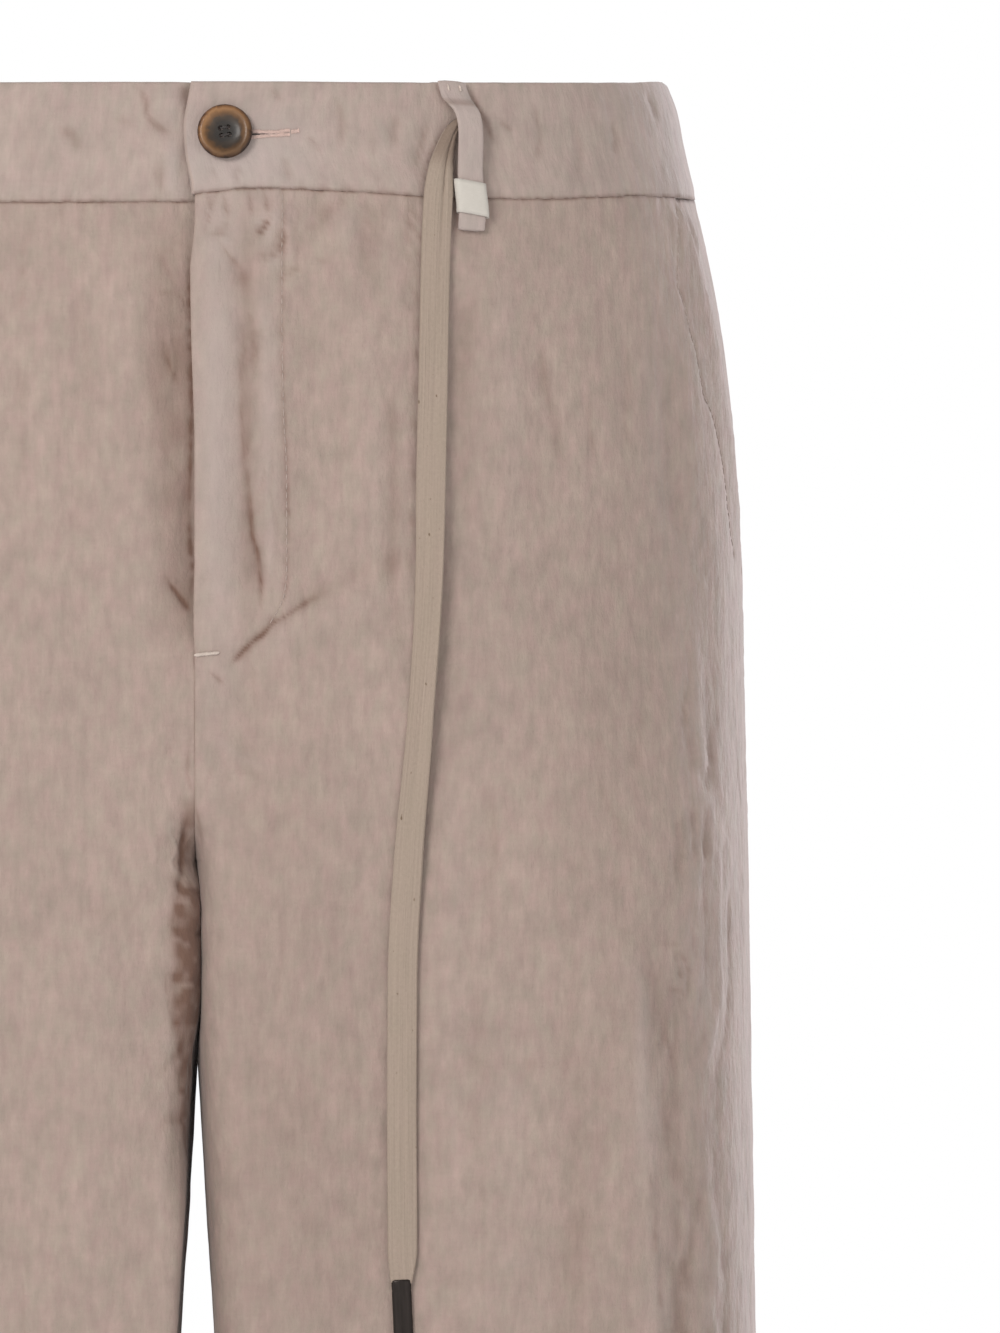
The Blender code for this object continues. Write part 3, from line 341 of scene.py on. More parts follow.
FRONT_CREASES = {
    LEFT: [
        # the fly's puffed stand, its furrow and the ridge beside its stitching
        crease(1.3, (5, 7), SOFT, (6.0, 46), (6.5, 100), (8.5, 172)),
        crease(-1.3, (6, 2.6), SOFT, (10.5, 53), (15.8, 66), (18.0, 80), (17.6, 97), (16.4, 113),
               (17.4, 132), (17.8, 143), (19.6, 150), (20.5, 157), (20.9, 169)),
        crease(-0.8, (1.6, 0.9), SHARP, (16.9, 120), (17.4, 132), (18.2, 143), (20.0, 150), (20.8, 157),
               (21.0, 168)),
        crease(0.9, (2.5, 3.5), SOFT, (21.5, 60), (22.5, 100), (24.3, 140), (24.0, 164)),
        crease(-0.7, (1.6, 1.4), FIRM, (22.4, 105), (24.6, 118), (24.2, 131), (26.2, 142), (25.0, 153)),
        # small tucks under the band beside the fly
        crease(-1.2, 1.3, FIRM, (23.8, 45), (19.5, 50.5)),
        crease(-1.2, 1.2, FIRM, (29.5, 51.5), (24.8, 56.5), (20.0, 58)),
        crease(1.0, 1.8, SOFT, (26.5, 41), (22.5, 53.5)),
        crease(-0.5, 1.5, FIRM, (27.5, 61.5), (35.0, 60)),
        crease(-0.4, 1.8, FIRM, (38.2, 58.5), (44.3, 56.5)),
        crease(-0.6, 1.8, FIRM, (50.5, 37.5), (44.2, 40.8), (39.4, 46.5)),
        crease(-0.5, 1.8, FIRM, (8.2, 52), (11.0, 57), (14.5, 60)),
        crease(-0.4, 1.4, FIRM, (4.0, 36.5), (4.8, 42)),
        crease(-0.4, 1.4, FIRM, (9.0, 36.5), (10.2, 43)),
        crease(-0.5, 1.3, FIRM, (17.3, 36.5), (17.8, 43.5)),
        crease(-0.4, 1.3, FIRM, (22.0, 36.5), (22.8, 44)),
        # the drag line that runs up and out from the foot of the fly
        crease(-1.4, (1.3, 1.5), SHARP, (11.2, 185), (15.0, 180.6), (17.8, 177.8), (21.2, 175.4),
               (25.2, 171.4), (29.1, 169.1), (34.8, 165.2), (39.2, 162.8)),
        crease(-1.3, 4.5, SOFT, (33.0, 166.0), (43.8, 159.9), (51.7, 155.8), (60.0, 153.5), (74.0, 149.5)),
        crease(1.2, 6.0, SOFT, (19.0, 186), (30.0, 177), (46.0, 168), (62.0, 162)),
        crease(-0.4, 1.2, FIRM, (3.6, 186), (9.8, 191)),
        crease(-0.4, 2.0, FIRM, (1.5, 158), (6.5, 157)),
        crease(-0.4, 2.0, FIRM, (2.5, 165), (10.0, 164)),
        # the hollows that run up and down the hip
        crease(-0.7, (2.0, 3.0), FIRM, (109.0, 80.5), (109.9, 88.5), (110.6, 95.7), (113.5, 106),
               (114.7, 116), (116.0, 124)),
        crease(-0.5, 2.4, FIRM, (120.4, 98.6), (124.2, 100.8), (124.8, 108), (127.0, 121)),
        crease(-0.5, 2.6, FIRM, (134.6, 77), (136.2, 82), (137.1, 95), (136.6, 114), (140.0, 124)),
        crease(0.5, 5.0, SOFT, (96.0, 60), (101.0, 120), (99.0, 160)),
        crease(-0.6, 6.0, SOFT, (86.0, 62), (84.0, 110), (87.0, 150)),
        crease(0.5, 6.0, SOFT, (52.0, 70), (56.0, 120), (53.0, 150)),
        crease(-0.5, 5.0, SOFT, (44.0, 92), (47.5, 130)),
        crease(-0.6, 3.0, SOFT, (61.5, 95), (63.0, 140), (66.0, 185)),
        crease(-0.9, 7.0, SOFT, (150.0, 83), (151.0, 120), (155.0, 150)),
        # the long turned edge down the outside of the leg
        crease(1.1, (8, 5), SOFT, (136.5, 268), (139.5, 290), (141.2, 330), (142.0, 360), (146.0, 400),
               (147.5, 490)),
        crease(1.1, (0.9, 4.2), FIRM, (138.8, 280), (139.9, 295), (141.4, 325), (143.2, 355),
               (145.9, 394), (147.6, 440), (148.2, 490)),
        crease(-0.7, (1.0, 2.4), FIRM, (144.0, 340), (145.0, 362), (147.0, 400), (148.8, 440),
               (149.6, 490)),
        crease(0.7, 2.0, SOFT, (144.9, 304), (146.5, 312), (145.0, 327), (146.3, 333), (144.0, 342)),
        crease(-0.5, (5, 5), SOFT, (152.5, 292), (152.0, 330), (155.0, 380), (154.0, 430), (157.0, 490)),
        crease(0.7, 2.2, SOFT, (165.8, 232), (165.8, 268), (166.4, 288), (164.6, 297), (161.8, 309),
               (158.8, 316)),
        crease(-0.5, 2.2, SOFT, (160.0, 230), (161.0, 262), (162.2, 284), (160.5, 296)),
        crease(-0.5, 2.0, SOFT, (169.0, 250), (169.6, 280), (168.2, 301), (165.2, 318), (166.0, 336)),
        crease(0.6, 2.6, SOFT, (162.4, 335), (162.0, 352), (165.0, 372), (163.5, 410)),
        crease(-0.5, 2.4, SOFT, (166.5, 356), (168.0, 385), (166.5, 420)),
        crease(0.5, 3.0, SOFT, (170.0, 395), (169.0, 440), (171.0, 485)),
        crease(-0.6, 3.6, SOFT, (163.0, 430), (162.0, 470), (164.5, 490)),
        # crinkles down the outside of the hip
        crease(0.8, 4.0, SOFT, (158.0, 172), (159.5, 200), (160.5, 225)),
        crease(-0.35, 2.4, SOFT, (155.5, 170), (157.0, 186), (155.0, 204), (157.5, 222)),
        crease(-0.3, 1.8, SOFT, (163.0, 180), (165.0, 196), (163.6, 212), (166.0, 226)),
        crease(0.4, 2.2, SOFT, (158.5, 228), (156.5, 242), (158.5, 256), (156.0, 268)),
        # slack down the middle of the leg
        crease(-1.4, 14, SOFT, (46.0, 250), (50.0, 360), (52.0, 490)),
        crease(1.3, 15, SOFT, (100.0, 310), (97.0, 400), (96.0, 490)),
        crease(-0.8, 8, SOFT, (118.0, 240), (121.0, 330), (119.0, 420)),
        crease(0.7, 7, SOFT, (78.0, 215), (81.0, 300), (80.0, 380)),
        crease(-0.5, 4, SOFT, (26.0, 200), (29.0, 250), (27.0, 300)),
        crease(0.6, 5, SOFT, (14.0, 250), (16.0, 330), (15.0, 420)),
        # the creases that break from the crotch
        crease(-0.6, 0.9, SHARP, (0.8, 228), (1.6, 234), (2.4, 242)),
        crease(-0.4, 3.0, SOFT, (4.0, 214), (12.0, 226), (20.0, 236)),
        crease(0.5, 2.5, SOFT, (5.0, 205), (15.0, 214), (28.0, 218)),
    ],
    RIGHT: [
        # the valley where the under front runs in behind the fly
        crease(-1.6, (6, 9), SOFT, (5.0, 40), (5.6, 110), (3.6, 172)),
        crease(0.8, 9, SOFT, (18.0, 56), (17.0, 110), (15.5, 172)),
        crease(-0.9, (1.1, 1.0), SHARP, (9.6, 156.6), (6.6, 161), (3.6, 165), (1.0, 169)),
        crease(-0.35, 1.4, FIRM, (12.9, 51), (8.0, 60), (3.6, 69)),
        crease(-0.35, 1.2, FIRM, (10.5, 84), (7.4, 91), (4.6, 97)),
        crease(-0.3, 1.6, FIRM, (12.0, 112), (7.5, 121), (4.0, 127)),
        crease(-0.4, 1.6, FIRM, (10.0, 176), (5.0, 181), (1.5, 189)),
        # the front's own slack
        crease(-0.6, 4.0, SOFT, (36.0, 60), (34.0, 100), (37.5, 150)),
        crease(0.5, 5.0, SOFT, (45.0, 70), (47.0, 130), (44.0, 180)),
        crease(-0.5, 3.4, SOFT, (54.5, 84), (52.5, 130)),
        crease(-0.7, 6.0, SOFT, (88.0, 70), (90.0, 130), (86.0, 190)),
        crease(0.7, 6.0, SOFT, (104.0, 60), (107.0, 120), (103.0, 170)),
        crease(-0.6, 3.0, FIRM, (122.0, 84), (124.0, 104), (121.0, 122)),
        crease(-0.8, 7.0, SOFT, (149.0, 84), (151.0, 125), (154.0, 152)),
        # the creases that break from the crotch and roll in between the legs
        crease(-1.0, (2.5, 4.0), SOFT, (1.4, 222), (2.4, 234), (4.0, 246)),
        crease(-0.8, 1.8, FIRM, (1.0, 257), (4.5, 256), (8.5, 251)),
        crease(-0.8, 1.8, FIRM, (1.2, 270), (5.5, 269), (10.0, 263)),
        crease(-0.7, 2.2, FIRM, (1.5, 286), (7.0, 284), (12.0, 290)),
        crease(0.6, 2.5, SOFT, (2.0, 262), (7.5, 262)),
        crease(0.6, 2.5, SOFT, (2.5, 277), (8.5, 277)),
        crease(-0.7, 2.2, FIRM, (2.5, 305), (8.0, 309), (12.0, 318)),
        crease(-0.6, 2.2, FIRM, (3.0, 330), (8.5, 328), (12.5, 338)),
        crease(0.6, 3.0, SOFT, (9.0, 292), (10.0, 330), (12.0, 372)),
        crease(-0.5, 7.0, SOFT, (14.0, 256), (30.0, 268), (46.0, 285)),
        # slack down the middle of the leg and its turned edge
        crease(-1.5, 14, SOFT, (60.0, 290), (64.0, 380), (66.0, 490)),
        crease(1.6, 11, SOFT, (32.0, 262), (31.0, 350), (30.0, 450)),
        crease(2.6, (8, 6), SOFT, (138.0, 286), (141.0, 330), (145.0, 400), (147.0, 490)),
        crease(-1.2, (2, 2.4), FIRM, (145.0, 340), (147.5, 380), (148.5, 440), (150.0, 490)),
        crease(-1.9, 6, SOFT, (154.0, 240), (155.5, 320), (154.0, 380), (157.0, 460)),
        crease(1.2, 3.0, FIRM, (164.0, 236), (166.0, 272), (163.0, 300), (165.0, 330)),
        crease(-0.9, 2.8, FIRM, (168.0, 262), (166.8, 300), (169.0, 340)),
        crease(1.3, 5.0, SOFT, (160.0, 176), (162.0, 222)),
        crease(-0.8, 2.4, FIRM, (156.0, 180), (158.0, 200), (156.0, 224)),
        crease(0.8, 8, SOFT, (100.0, 250), (98.0, 340), (101.0, 430)),
        crease(-0.7, 7, SOFT, (116.0, 300), (119.0, 380), (117.0, 470)),
    ],
}
BACK_SOFTNESS = 0.7
BACK_CREASES = {
    LEFT: [
        crease(-2.8, 12, SOFT, (50.0, 196), (57.0, 260), (62.0, 335)),
        crease(-2.2, 9, SOFT, (22.0, 230), (45.0, 244), (72.0, 263)),
        crease(-1.3, 5, FIRM, (10.0, 246), (28.0, 262), (40.0, 284)),
        crease(2.6, 13, SOFT, (105.0, 266), (109.0, 370), (112.0, 490)),
        crease(-2.0, 11, SOFT, (75.0, 335), (72.0, 410), (70.0, 490)),
        crease(1.4, 7, SOFT, (30.0, 290), (34.0, 380), (36.0, 470)),
        crease(-1.2, 4, FIRM, (128.0, 300), (131.0, 360), (127.0, 420)),
        crease(-0.9, 5, SOFT, (96.0, 70), (99.0, 120), (95.0, 170)),
        crease(0.8, 7, SOFT, (70.0, 60), (74.0, 120), (71.0, 180)),
        crease(-0.8, 3, FIRM, (6.0, 150), (20.0, 160), (36.0, 163)),
        crease(-1.0, 3, FIRM, (5.0, 190), (16.0, 201), (31.0, 206)),
        crease(-0.8, 6, SOFT, (132.0, 90), (136.0, 150), (133.0, 200)),
    ],
    RIGHT: [
        crease(-2.8, 12, SOFT, (46.0, 201), (52.0, 270), (55.0, 352)),
        crease(-2.1, 9, SOFT, (26.0, 234), (50.0, 250), (79.0, 271)),
        crease(-1.3, 5, FIRM, (8.0, 244), (24.0, 258), (44.0, 290)),
        crease(2.8, 13, SOFT, (98.0, 286), (101.0, 380), (104.0, 490)),
        crease(-1.9, 11, SOFT, (130.0, 326), (127.0, 410), (126.0, 490)),
        crease(1.3, 7, SOFT, (28.0, 300), (32.0, 390), (30.0, 480)),
        crease(-1.2, 4, FIRM, (74.0, 330), (77.0, 380), (73.0, 440)),
        crease(-0.9, 5, SOFT, (88.0, 74), (91.0, 130), (86.0, 176)),
        crease(0.8, 7, SOFT, (60.0, 64), (63.0, 116), (60.0, 172)),
        crease(-0.8, 3, FIRM, (5.0, 140), (19.0, 152), (38.0, 154)),
        crease(-0.9, 3, FIRM, (6.0, 186), (20.0, 193), (34.0, 203)),
        crease(-0.8, 6, SOFT, (128.0, 84), (131.0, 146), (134.0, 196)),
    ],
}
BAND_CREASES = {
    LEFT: [
        crease(-0.6, 1.8, FIRM, (86.4, 1), (88.7, 7), (92.0, 13), (95.4, 20)),
        crease(-0.3, 1.6, FIRM, (95.5, 11.5), (101.0, 15.6)),
        crease(-0.4, 1.5, FIRM, (74.5, 11), (72.0, 18), (69.0, 30)),
        crease(-0.4, 1.6, FIRM, (24.5, 1.5), (26.5, 7)),
        crease(-0.4, 1.6, FIRM, (33.5, 18.7), (37.5, 20), (40.0, 25.5)),
        crease(-0.3, 1.8, SOFT, (44.0, 3), (46.5, 14), (45.0, 24)),
        crease(0.3, 2.2, SOFT, (56.0, 6), (59.0, 18), (57.5, 32)),
        crease(-0.3, 1.8, SOFT, (64.0, 9), (62.5, 22)),
        crease(-0.4, 1.8, FIRM, (106.0, 5), (109.0, 15), (107.0, 26)),
        crease(-0.4, 2.0, FIRM, (131.0, 11), (133.0, 17), (132.0, 24)),
        crease(-0.4, 2.2, SOFT, (119.0, 9), (121.5, 20), (120.0, 31)),
        crease(-0.5, 2.2, FIRM, (142.0, 3), (145.0, 8.5), (146.0, 13)),
        crease(0.4, 2.4, SOFT, (127.0, 3), (128.5, 14)),
        crease(-0.3, 1.8, FIRM, (5.5, 27), (6.5, 35)),
        crease(-0.4, 1.8, FIRM, (14.0, 27.5), (13.0, 35)),
        crease(-0.4, 1.6, FIRM, (28.0, 24), (30.5, 35)),
    ],
    RIGHT: [
        crease(-0.6, 1.8, FIRM, (18.3, 1), (15.9, 5.5), (14.6, 11), (9.0, 15), (4.6, 15.6)),
        crease(-0.7, 1.6, FIRM, (4.6, 0.5), (2.2, 6), (0.6, 12)),
        crease(0.5, 2.2, SOFT, (7.5, 17), (7.2, 34)),
        crease(-0.4, 2.0, FIRM, (11.5, 24), (10.0, 36)),
        crease(-0.3, 2.0, SOFT, (26.0, 11), (22.0, 12), (19.0, 15)),
        crease(-0.4, 2.2, SOFT, (44.0, 14), (39.0, 16), (36.0, 22)),
        crease(-0.3, 2.2, SOFT, (53.0, 12), (52.0, 26)),
        crease(-0.4, 2.0, FIRM, (92.0, 3), (94.5, 12), (98.0, 19)),
        crease(-0.4, 2.0, FIRM, (112.0, 8), (110.0, 22)),
        crease(-0.4, 2.2, FIRM, (136.0, 4), (138.0, 18)),
        crease(0.3, 2.4, SOFT, (72.0, 6), (70.0, 26)),
    ],
}
BACK_BAND_CREASES = {
    side: [
        crease(-0.4, 2.0, FIRM, (14.0, 6), (16.0, 16), (13.0, 30)),
        crease(0.4, 2.6, SOFT, (38.0, 4), (36.0 + 4 * side, 28)),
        crease(-0.4, 2.0, FIRM, (64.0 + 3 * side, 8), (62.0, 30)),
        crease(-0.3, 2.0, SOFT, (118.0, 6), (120.0 + 3 * side, 26)),
    ]
    for side in (LEFT, RIGHT)
}


def rounded_path(path, side, face, pieces=8):
    """A crease's path as arcs and drops, rounded at its corners."""
    path = np.array(path, float)
    arcs = [arc_at_x(outline_row(side, face, drop), x) for x, drop in path]
    spots = np.stack([arcs, path[:, 1]], axis=1)
    way = way_along(spots)
    if len(spots) == 2:
        return spots
    at = np.linspace(0.0, way[-1], pieces * (len(spots) - 1) + 1)
    return np.stack([smooth_curve(way, spots[:, 0])(at), smooth_curve(way, spots[:, 1])(at)], axis=1)


def from_path(spots, arcs, drops):
    """For each place: its distance from the path, above 0 towards the side seam, and its way along the
    path."""
    near = np.full(arcs.shape, np.inf)
    signed = np.zeros(arcs.shape)
    along = np.zeros(arcs.shape)
    passed = 0.0
    for (a0, d0), (a1, d1) in zip(spots, spots[1:]):
        length = max(math.hypot(a1 - a0, d1 - d0), 1e-9)
        share = np.clip(((arcs - a0) * (a1 - a0) + (drops - d0) * (d1 - d0)) / length**2, 0.0, 1.0)
        off_arc, off_drop = arcs - a0 - share * (a1 - a0), drops - d0 - share * (d1 - d0)
        away = np.hypot(off_arc, off_drop)
        closer = away < near
        cross = -off_arc * np.sign(d1 - d0 + 1e-12)
        near = np.where(closer, away, near)
        signed = np.where(closer, np.where(cross >= 0, away, -away), signed)
        along = np.where(closer, passed + share * length, along)
        passed += length
    return signed, along, passed


# How far a crease's height varies along it, over what length, and the slopes' reach past which it is nothing.
UNEVEN = 0.35
UNEVEN_LENGTH = 0.011
CREASE_REACH = 3.2


def crease_relief(creases, side, face, arcs, drops):
    """How far the creases raise the cloth at each place of a grid."""
    total = np.zeros(arcs.shape)
    for number, c in enumerate(creases):
        spots = rounded_path(c.path, side, face)
        reach = CREASE_REACH * max(c.inward, c.outward)
        low, high = spots.min(axis=0) - reach, spots.max(axis=0) + reach
        inside = (arcs > low[0]) & (arcs < high[0]) & (drops > low[1]) & (drops < high[1])
        if not inside.any():
            continue
        away, along, length = from_path(spots, arcs[inside], drops[inside])
        width = np.where(away > 0, c.outward, c.inward)
        fade = min(CREASE_FADE, length / 2.5)
        ends = ease(along / fade + 0.15)
        if c.path[-1][1] < TOTAL_DROP:
            ends = ends * ease((length - along) / fade + 0.15)
        wave = max(UNEVEN_LENGTH, 4.0 * min(c.inward, c.outward))
        depth = c.height * (1.0 + UNEVEN * noise(along / wave, along * 0 + number, 7))
        total[inside] += depth * ends * np.exp(-(np.abs(away) / width) ** c.power)
    return total


def patches(rows, xs, drops):
    """How strongly soft oval patches cover each place. Each is its x and drop as seen from the front, its
    half
    width and half drop, in millimetres, and its strength."""
    total = np.zeros(xs.shape)
    for x, drop, half_width, half_drop, strength in rows:
        off = ((xs - x * MM) / (half_width * MM)) ** 2 + ((drops - drop * MM) / (half_drop * MM)) ** 2
        total += strength * np.exp(-off)
    return total


# Where the cloth is more crumpled than elsewhere.
BUSY = {
    LEFT: [(22, 105, 9, 75, 2.2), (26, 48, 30, 10, 2.2), (60, 44, 60, 8, 1.2), (158, 235, 9, 60, 2.4),
           (156, 320, 10, 60, 2.4), (158, 430, 11, 70, 1.8), (8, 230, 10, 22, 1.4), (36, 168, 22, 14, 1.0)],
    RIGHT: [(6, 100, 8, 75, 1.4), (4, 285, 9, 40, 2.4), (5, 390, 8, 50, 0.6), (158, 235, 9, 60, 2.4),
            (156, 340, 10, 70, 2.4), (8, 230, 10, 22, 1.6)],
}
# Patches of painted shade where the cloth lies in shadow, and paler patches: wear and painted highlight.
SHADE_PATCHES = {
    LEFT: [(17, 62, 6, 9, 0.10), (16.4, 105, 2.2, 60, 0.22), (140, 290, 9, 20, 0.08),
           (130, 180, 22, 60, 0.05),
           (122, 230, 18, 40, 0.04), (82.2, 43.4, 0.9, 4.2, 0.45), (22, 240, 24, 50, 0.07),
           (32, 345, 36, 70, 0.13)],
    RIGHT: [(8, 82, 8, 34, 0.34), (6, 122, 7, 46, 0.28), (5, 165, 6, 12, 0.24), (3, 300, 4, 44, 0.16),
            (2, 400, 3, 60, 0.12)],
}
PALER = {
    LEFT: [(140.3, 318, 1.2, 28, 0.5), (162.2, 288, 1.6, 26, 0.45), (7.5, 105, 8.0, 82, 1.0),
           (24.0, 100, 3.0, 55, 0.45), (20, 40, 16, 12, 0.30), (21, 47, 2.6, 2.4, 0.6),
           (25, 58, 2.6, 2.4, 0.4)],
    RIGHT: [],
}
# Thin lines of painted shade in sharp folds and shadows, as creases whose height is how dark they are.
SHADE_LINES = {
    LEFT: [
        crease(0.50, 0.5, SHARP, (141.8, 338), (143.4, 350), (144.8, 366), (147.2, 398), (148.4, 440),
               (149.0, 489)),
        crease(0.85, 0.65, SHARP, (11.4, 185), (13.0, 182.6), (15.0, 180.6), (17.8, 177.8), (21.2, 175.4),
               (25.0, 171.6), (27.6, 169.6)),
        crease(0.36, 1.2, FIRM, (24.0, 172.6), (29.1, 169.4), (34.8, 165.4), (39.2, 163.0), (44.0, 160.6)),
        crease(0.75, 0.65, SHARP, (17.6, 128), (18.3, 143), (20.4, 151), (21.0, 158), (21.0, 167)),
        crease(0.50, 0.7, SHARP, (14.4, 84), (14.6, 100), (15.2, 112), (16.0, 126)),
        crease(0.42, 0.6, SHARP, (27.9, 37), (27.8, 70), (28.3, 104), (29.3, 124), (29.5, 154),
               (28.8, 162), (26.8, 167.4)),
        crease(0.35, 0.6, SHARP, (4.4, 186.4), (7.0, 188.8), (9.8, 191)),
        crease(0.55, 0.55, SHARP, (0.3, 227), (1.1, 234), (2.4, 243)),
        # the tucks under the band beside the fly
        crease(0.50, 0.6, SHARP, (24.6, 44.4), (22.0, 48.0), (18.8, 51.6)),
        crease(0.48, 0.6, SHARP, (29.6, 50.4), (26.8, 53.4), (23.0, 55.6), (19.6, 57.4)),
        crease(0.34, 0.6, SHARP, (7.4, 51.0), (11.0, 56.4), (15.0, 60.0)),
        crease(0.30, 0.5, SHARP, (9.0, 36.0), (10.4, 45.0)),
        crease(0.30, 0.5, SHARP, (4.0, 36.0), (5.0, 43.5)),
        crease(0.30, 0.5, SHARP, (17.0, 36.0), (18.0, 45.0)),
        crease(0.30, 0.5, SHARP, (22.0, 36.0), (23.2, 45.0)),
        # painted shadow where the drawstring rests on the cloth
        crease(0.32, 0.7, FIRM, (71.2, 37), (70.5, 66), (69.7, 102), (69.2, 132), (68.5, 160)),
    ],
    RIGHT: [
        crease(0.75, (0.6, 1.1), FIRM, (1.4, 48), (1.2, 80), (1.0, 110), (1.6, 140), (1.2, 166)),
        crease(0.80, 0.65, SHARP, (9.6, 156.4), (6.6, 161), (3.6, 165), (0.4, 169.4)),
        crease(0.20, 0.6, SHARP, (9.6, 86), (7.4, 91), (5.4, 97)),
        crease(0.50, 0.6, FIRM, (1.4, 206), (2.2, 214), (2.0, 220), (0.8, 226)),
        # the shaded flank between the thighs, its edge wandering and its hollows darker still
        crease(0.95, (5.0, 2.4), SOFT, (0.4, 225), (2.0, 233), (3.4, 243), (4.6, 254)),
        crease(1.15, (16.0, 4.6), FLAT, (4.6, 250), (5.0, 262), (5.6, 270), (4.8, 279), (5.6, 292),
               (4.2, 304), (3.4, 318), (3.2, 334), (2.2, 350), (1.2, 362)),
        crease(0.35, 1.8, FIRM, (5.8, 248.5), (4.8, 252)),
        crease(0.50, 2.0, FIRM, (6.8, 254.5), (5.2, 256.5)),
        crease(0.40, 2.0, FIRM, (7.2, 268), (5.0, 269.5), (3.4, 266)),
        crease(0.35, 2.4, FIRM, (6.4, 279), (4.6, 283)),
        crease(0.35, 2.6, FIRM, (6.2, 293), (4.6, 302)),
        crease(0.35, 2.4, FIRM, (4.8, 316), (3.6, 326)),
    ],
}


def crumple(u, v, seed, gain=1.0):
    """The fine unevenness of washed linen: long soft waves, short broken creases, small ripples, and crisp
    folds
    where gain is above 1."""
    drift_u, drift_v = 0.004 * noise(u / 0.03, v / 0.03, seed), 0.006 * noise(u / 0.03, v / 0.03, seed + 1)
    u, v = u + drift_u, v + drift_v
    busy = 0.55 + 0.45 * noise(u / 0.045, v / 0.06, seed + 2)
    waves = 0.00030 * noise(u / 0.013, v / 0.050, seed + 3)
    broken = 1.0 - np.abs(noise(u / 0.0075, v / 0.024, seed + 4)) * 2.2
    broken = 0.00022 * np.clip(broken, -0.4, 1.0) * noise(u / 0.016, v / 0.03, seed + 5)
    cross = 0.00010 * noise(u / 0.012, v / 0.006, seed + 6)
    ripples = 0.00009 * noise(u / 0.0032, v / 0.0095, seed + 7)
    bent = 0.4 * noise(u / 0.004, v / 0.005, seed + 8)
    crisp = np.clip(1.0 - 3.2 * np.abs(noise(u / 0.0056 + bent, v / 0.0150, seed + 9)), -0.2, 1.0)
    crisp = 0.00034 * np.clip(gain - 1.0, 0.0, 2.0) * crisp * noise(u / 0.013, v / 0.022, seed + 10)
    return waves * (0.7 + 0.3 * gain) + gain * busy * (broken * 2.0 + cross + ripples) + crisp


# ---------------------------------------------------------------- meshes


def finish_mesh(name, points, faces, corner_uvs, attributes=None):
    """A smooth mesh object with its cloth coordinates, in metres along and down the cloth, and its
    attributes."""
    mesh = bpy.data.meshes.new(name)
    mesh.from_pydata(np.asarray(points, float).tolist(), [], faces)
    layer = mesh.uv_layers.new(name="cloth")
    layer.data.foreach_set("uv", np.asarray(corner_uvs, np.float32).ravel())
    for label, values in (attributes or {}).items():
        attribute = mesh.attributes.new(label, "FLOAT", "POINT")
        attribute.data.foreach_set("value", np.asarray(values, np.float32).ravel())
    mesh.shade_smooth()
    return add_object(name, mesh)


def bmesh_object(name, shape):
    """An object of a bmesh, which is freed."""
    mesh = bpy.data.meshes.new(name)
    shape.to_mesh(mesh)
    shape.free()
    return add_object(name, mesh)


def with_modifiers_applied(piece):
    """The piece with its modifiers made part of its mesh."""
    bpy.context.view_layer.update()
    finished = bpy.data.meshes.new_from_object(piece.evaluated_get(bpy.context.evaluated_depsgraph_get()))
    piece.modifiers.clear()
    piece.data = finished
    return piece


def grid_ids(rows, columns, first=0):
    """The point numbers of a grid."""
    return first + np.arange(rows * columns).reshape(rows, columns)


def quads(ids, turned):
    """The faces between the rows and columns of a grid of point numbers."""
    corners = np.stack([ids[:-1, :-1], ids[1:, :-1], ids[1:, 1:], ids[:-1, 1:]], axis=-1).reshape(-1, 4)
    return (corners[:, ::-1] if turned else corners).tolist()


def every(count, stride):
    """Every stride-th number below count, with the last one."""
    return np.unique(np.append(np.arange(0, count, stride), count - 1))


def window_low(field, reach):
    """The lowest value within a square window round each place of a grid."""
    low = field.copy()
    for axis in (0, 1):
        kept = low.copy()
        for shift in range(1, reach + 1):
            kept = np.minimum(kept, np.concatenate([low.take(range(shift, low.shape[axis]), axis),
                                                    low.take([-1] * shift, axis)], axis))
            kept = np.minimum(kept, np.concatenate([low.take([0] * shift, axis),
                                                    low.take(range(low.shape[axis] - shift), axis)], axis))
        low = kept
    return low


def smoothed(field, times):
    """A grid's values, evened out with their neighbours."""
    for _ in range(times):
        padded = np.pad(field, 1, mode="edge")
        field = (padded[:-2, 1:-1] + padded[2:, 1:-1] + padded[1:-1, :-2] + padded[1:-1, 2:] + 4 * field) / 8
    return field


INNER_STRIDE = 3  # the inner wall takes every third row and column of the outer one


def shell(name, points, normals, relief, thickness, uvs, turned, attributes):
    """A closed thin wall: the fine outer grid, a coarser inner one and the rim between them."""
    rows, columns = points.shape[:2]
    r, c = every(rows, INNER_STRIDE), every(columns, INNER_STRIDE)
    hollowed = relief - window_low(relief, INNER_STRIDE)
    deep = (thickness + hollowed)[:, :, None]
    inner = (points - normals * deep)[np.ix_(r, c)]
    ids = grid_ids(rows, columns)
    inner_ids = grid_ids(len(r), len(c), rows * columns)
    faces = quads(ids, turned) + quads(inner_ids, not turned)
    for edge, inner_edge, at, flipped in (
        (ids[0], inner_ids[0], c, turned), (ids[-1], inner_ids[-1], c, not turned),
        (ids[:, 0], inner_ids[:, 0], r, not turned), (ids[:, -1], inner_ids[:, -1], r, turned),
    ):
        for k in range(len(at) - 1):
            rim = [*edge[at[k]:at[k + 1] + 1], inner_edge[k + 1], inner_edge[k]]
            faces.append([int(i) for i in (rim[::-1] if flipped else rim)])
    point_uvs = np.concatenate([uvs.reshape(-1, 2), uvs[np.ix_(r, c)].reshape(-1, 2)])
    order = np.array([i for face in faces for i in face])
    values = {
        label: np.concatenate([field.ravel(), np.zeros(inner_ids.size)]) for label,
        field in attributes.items()
    }
    return finish_mesh(name, np.concatenate([points.reshape(-1, 3), inner.reshape(-1, 3)]), faces,
                       point_uvs[order], values)


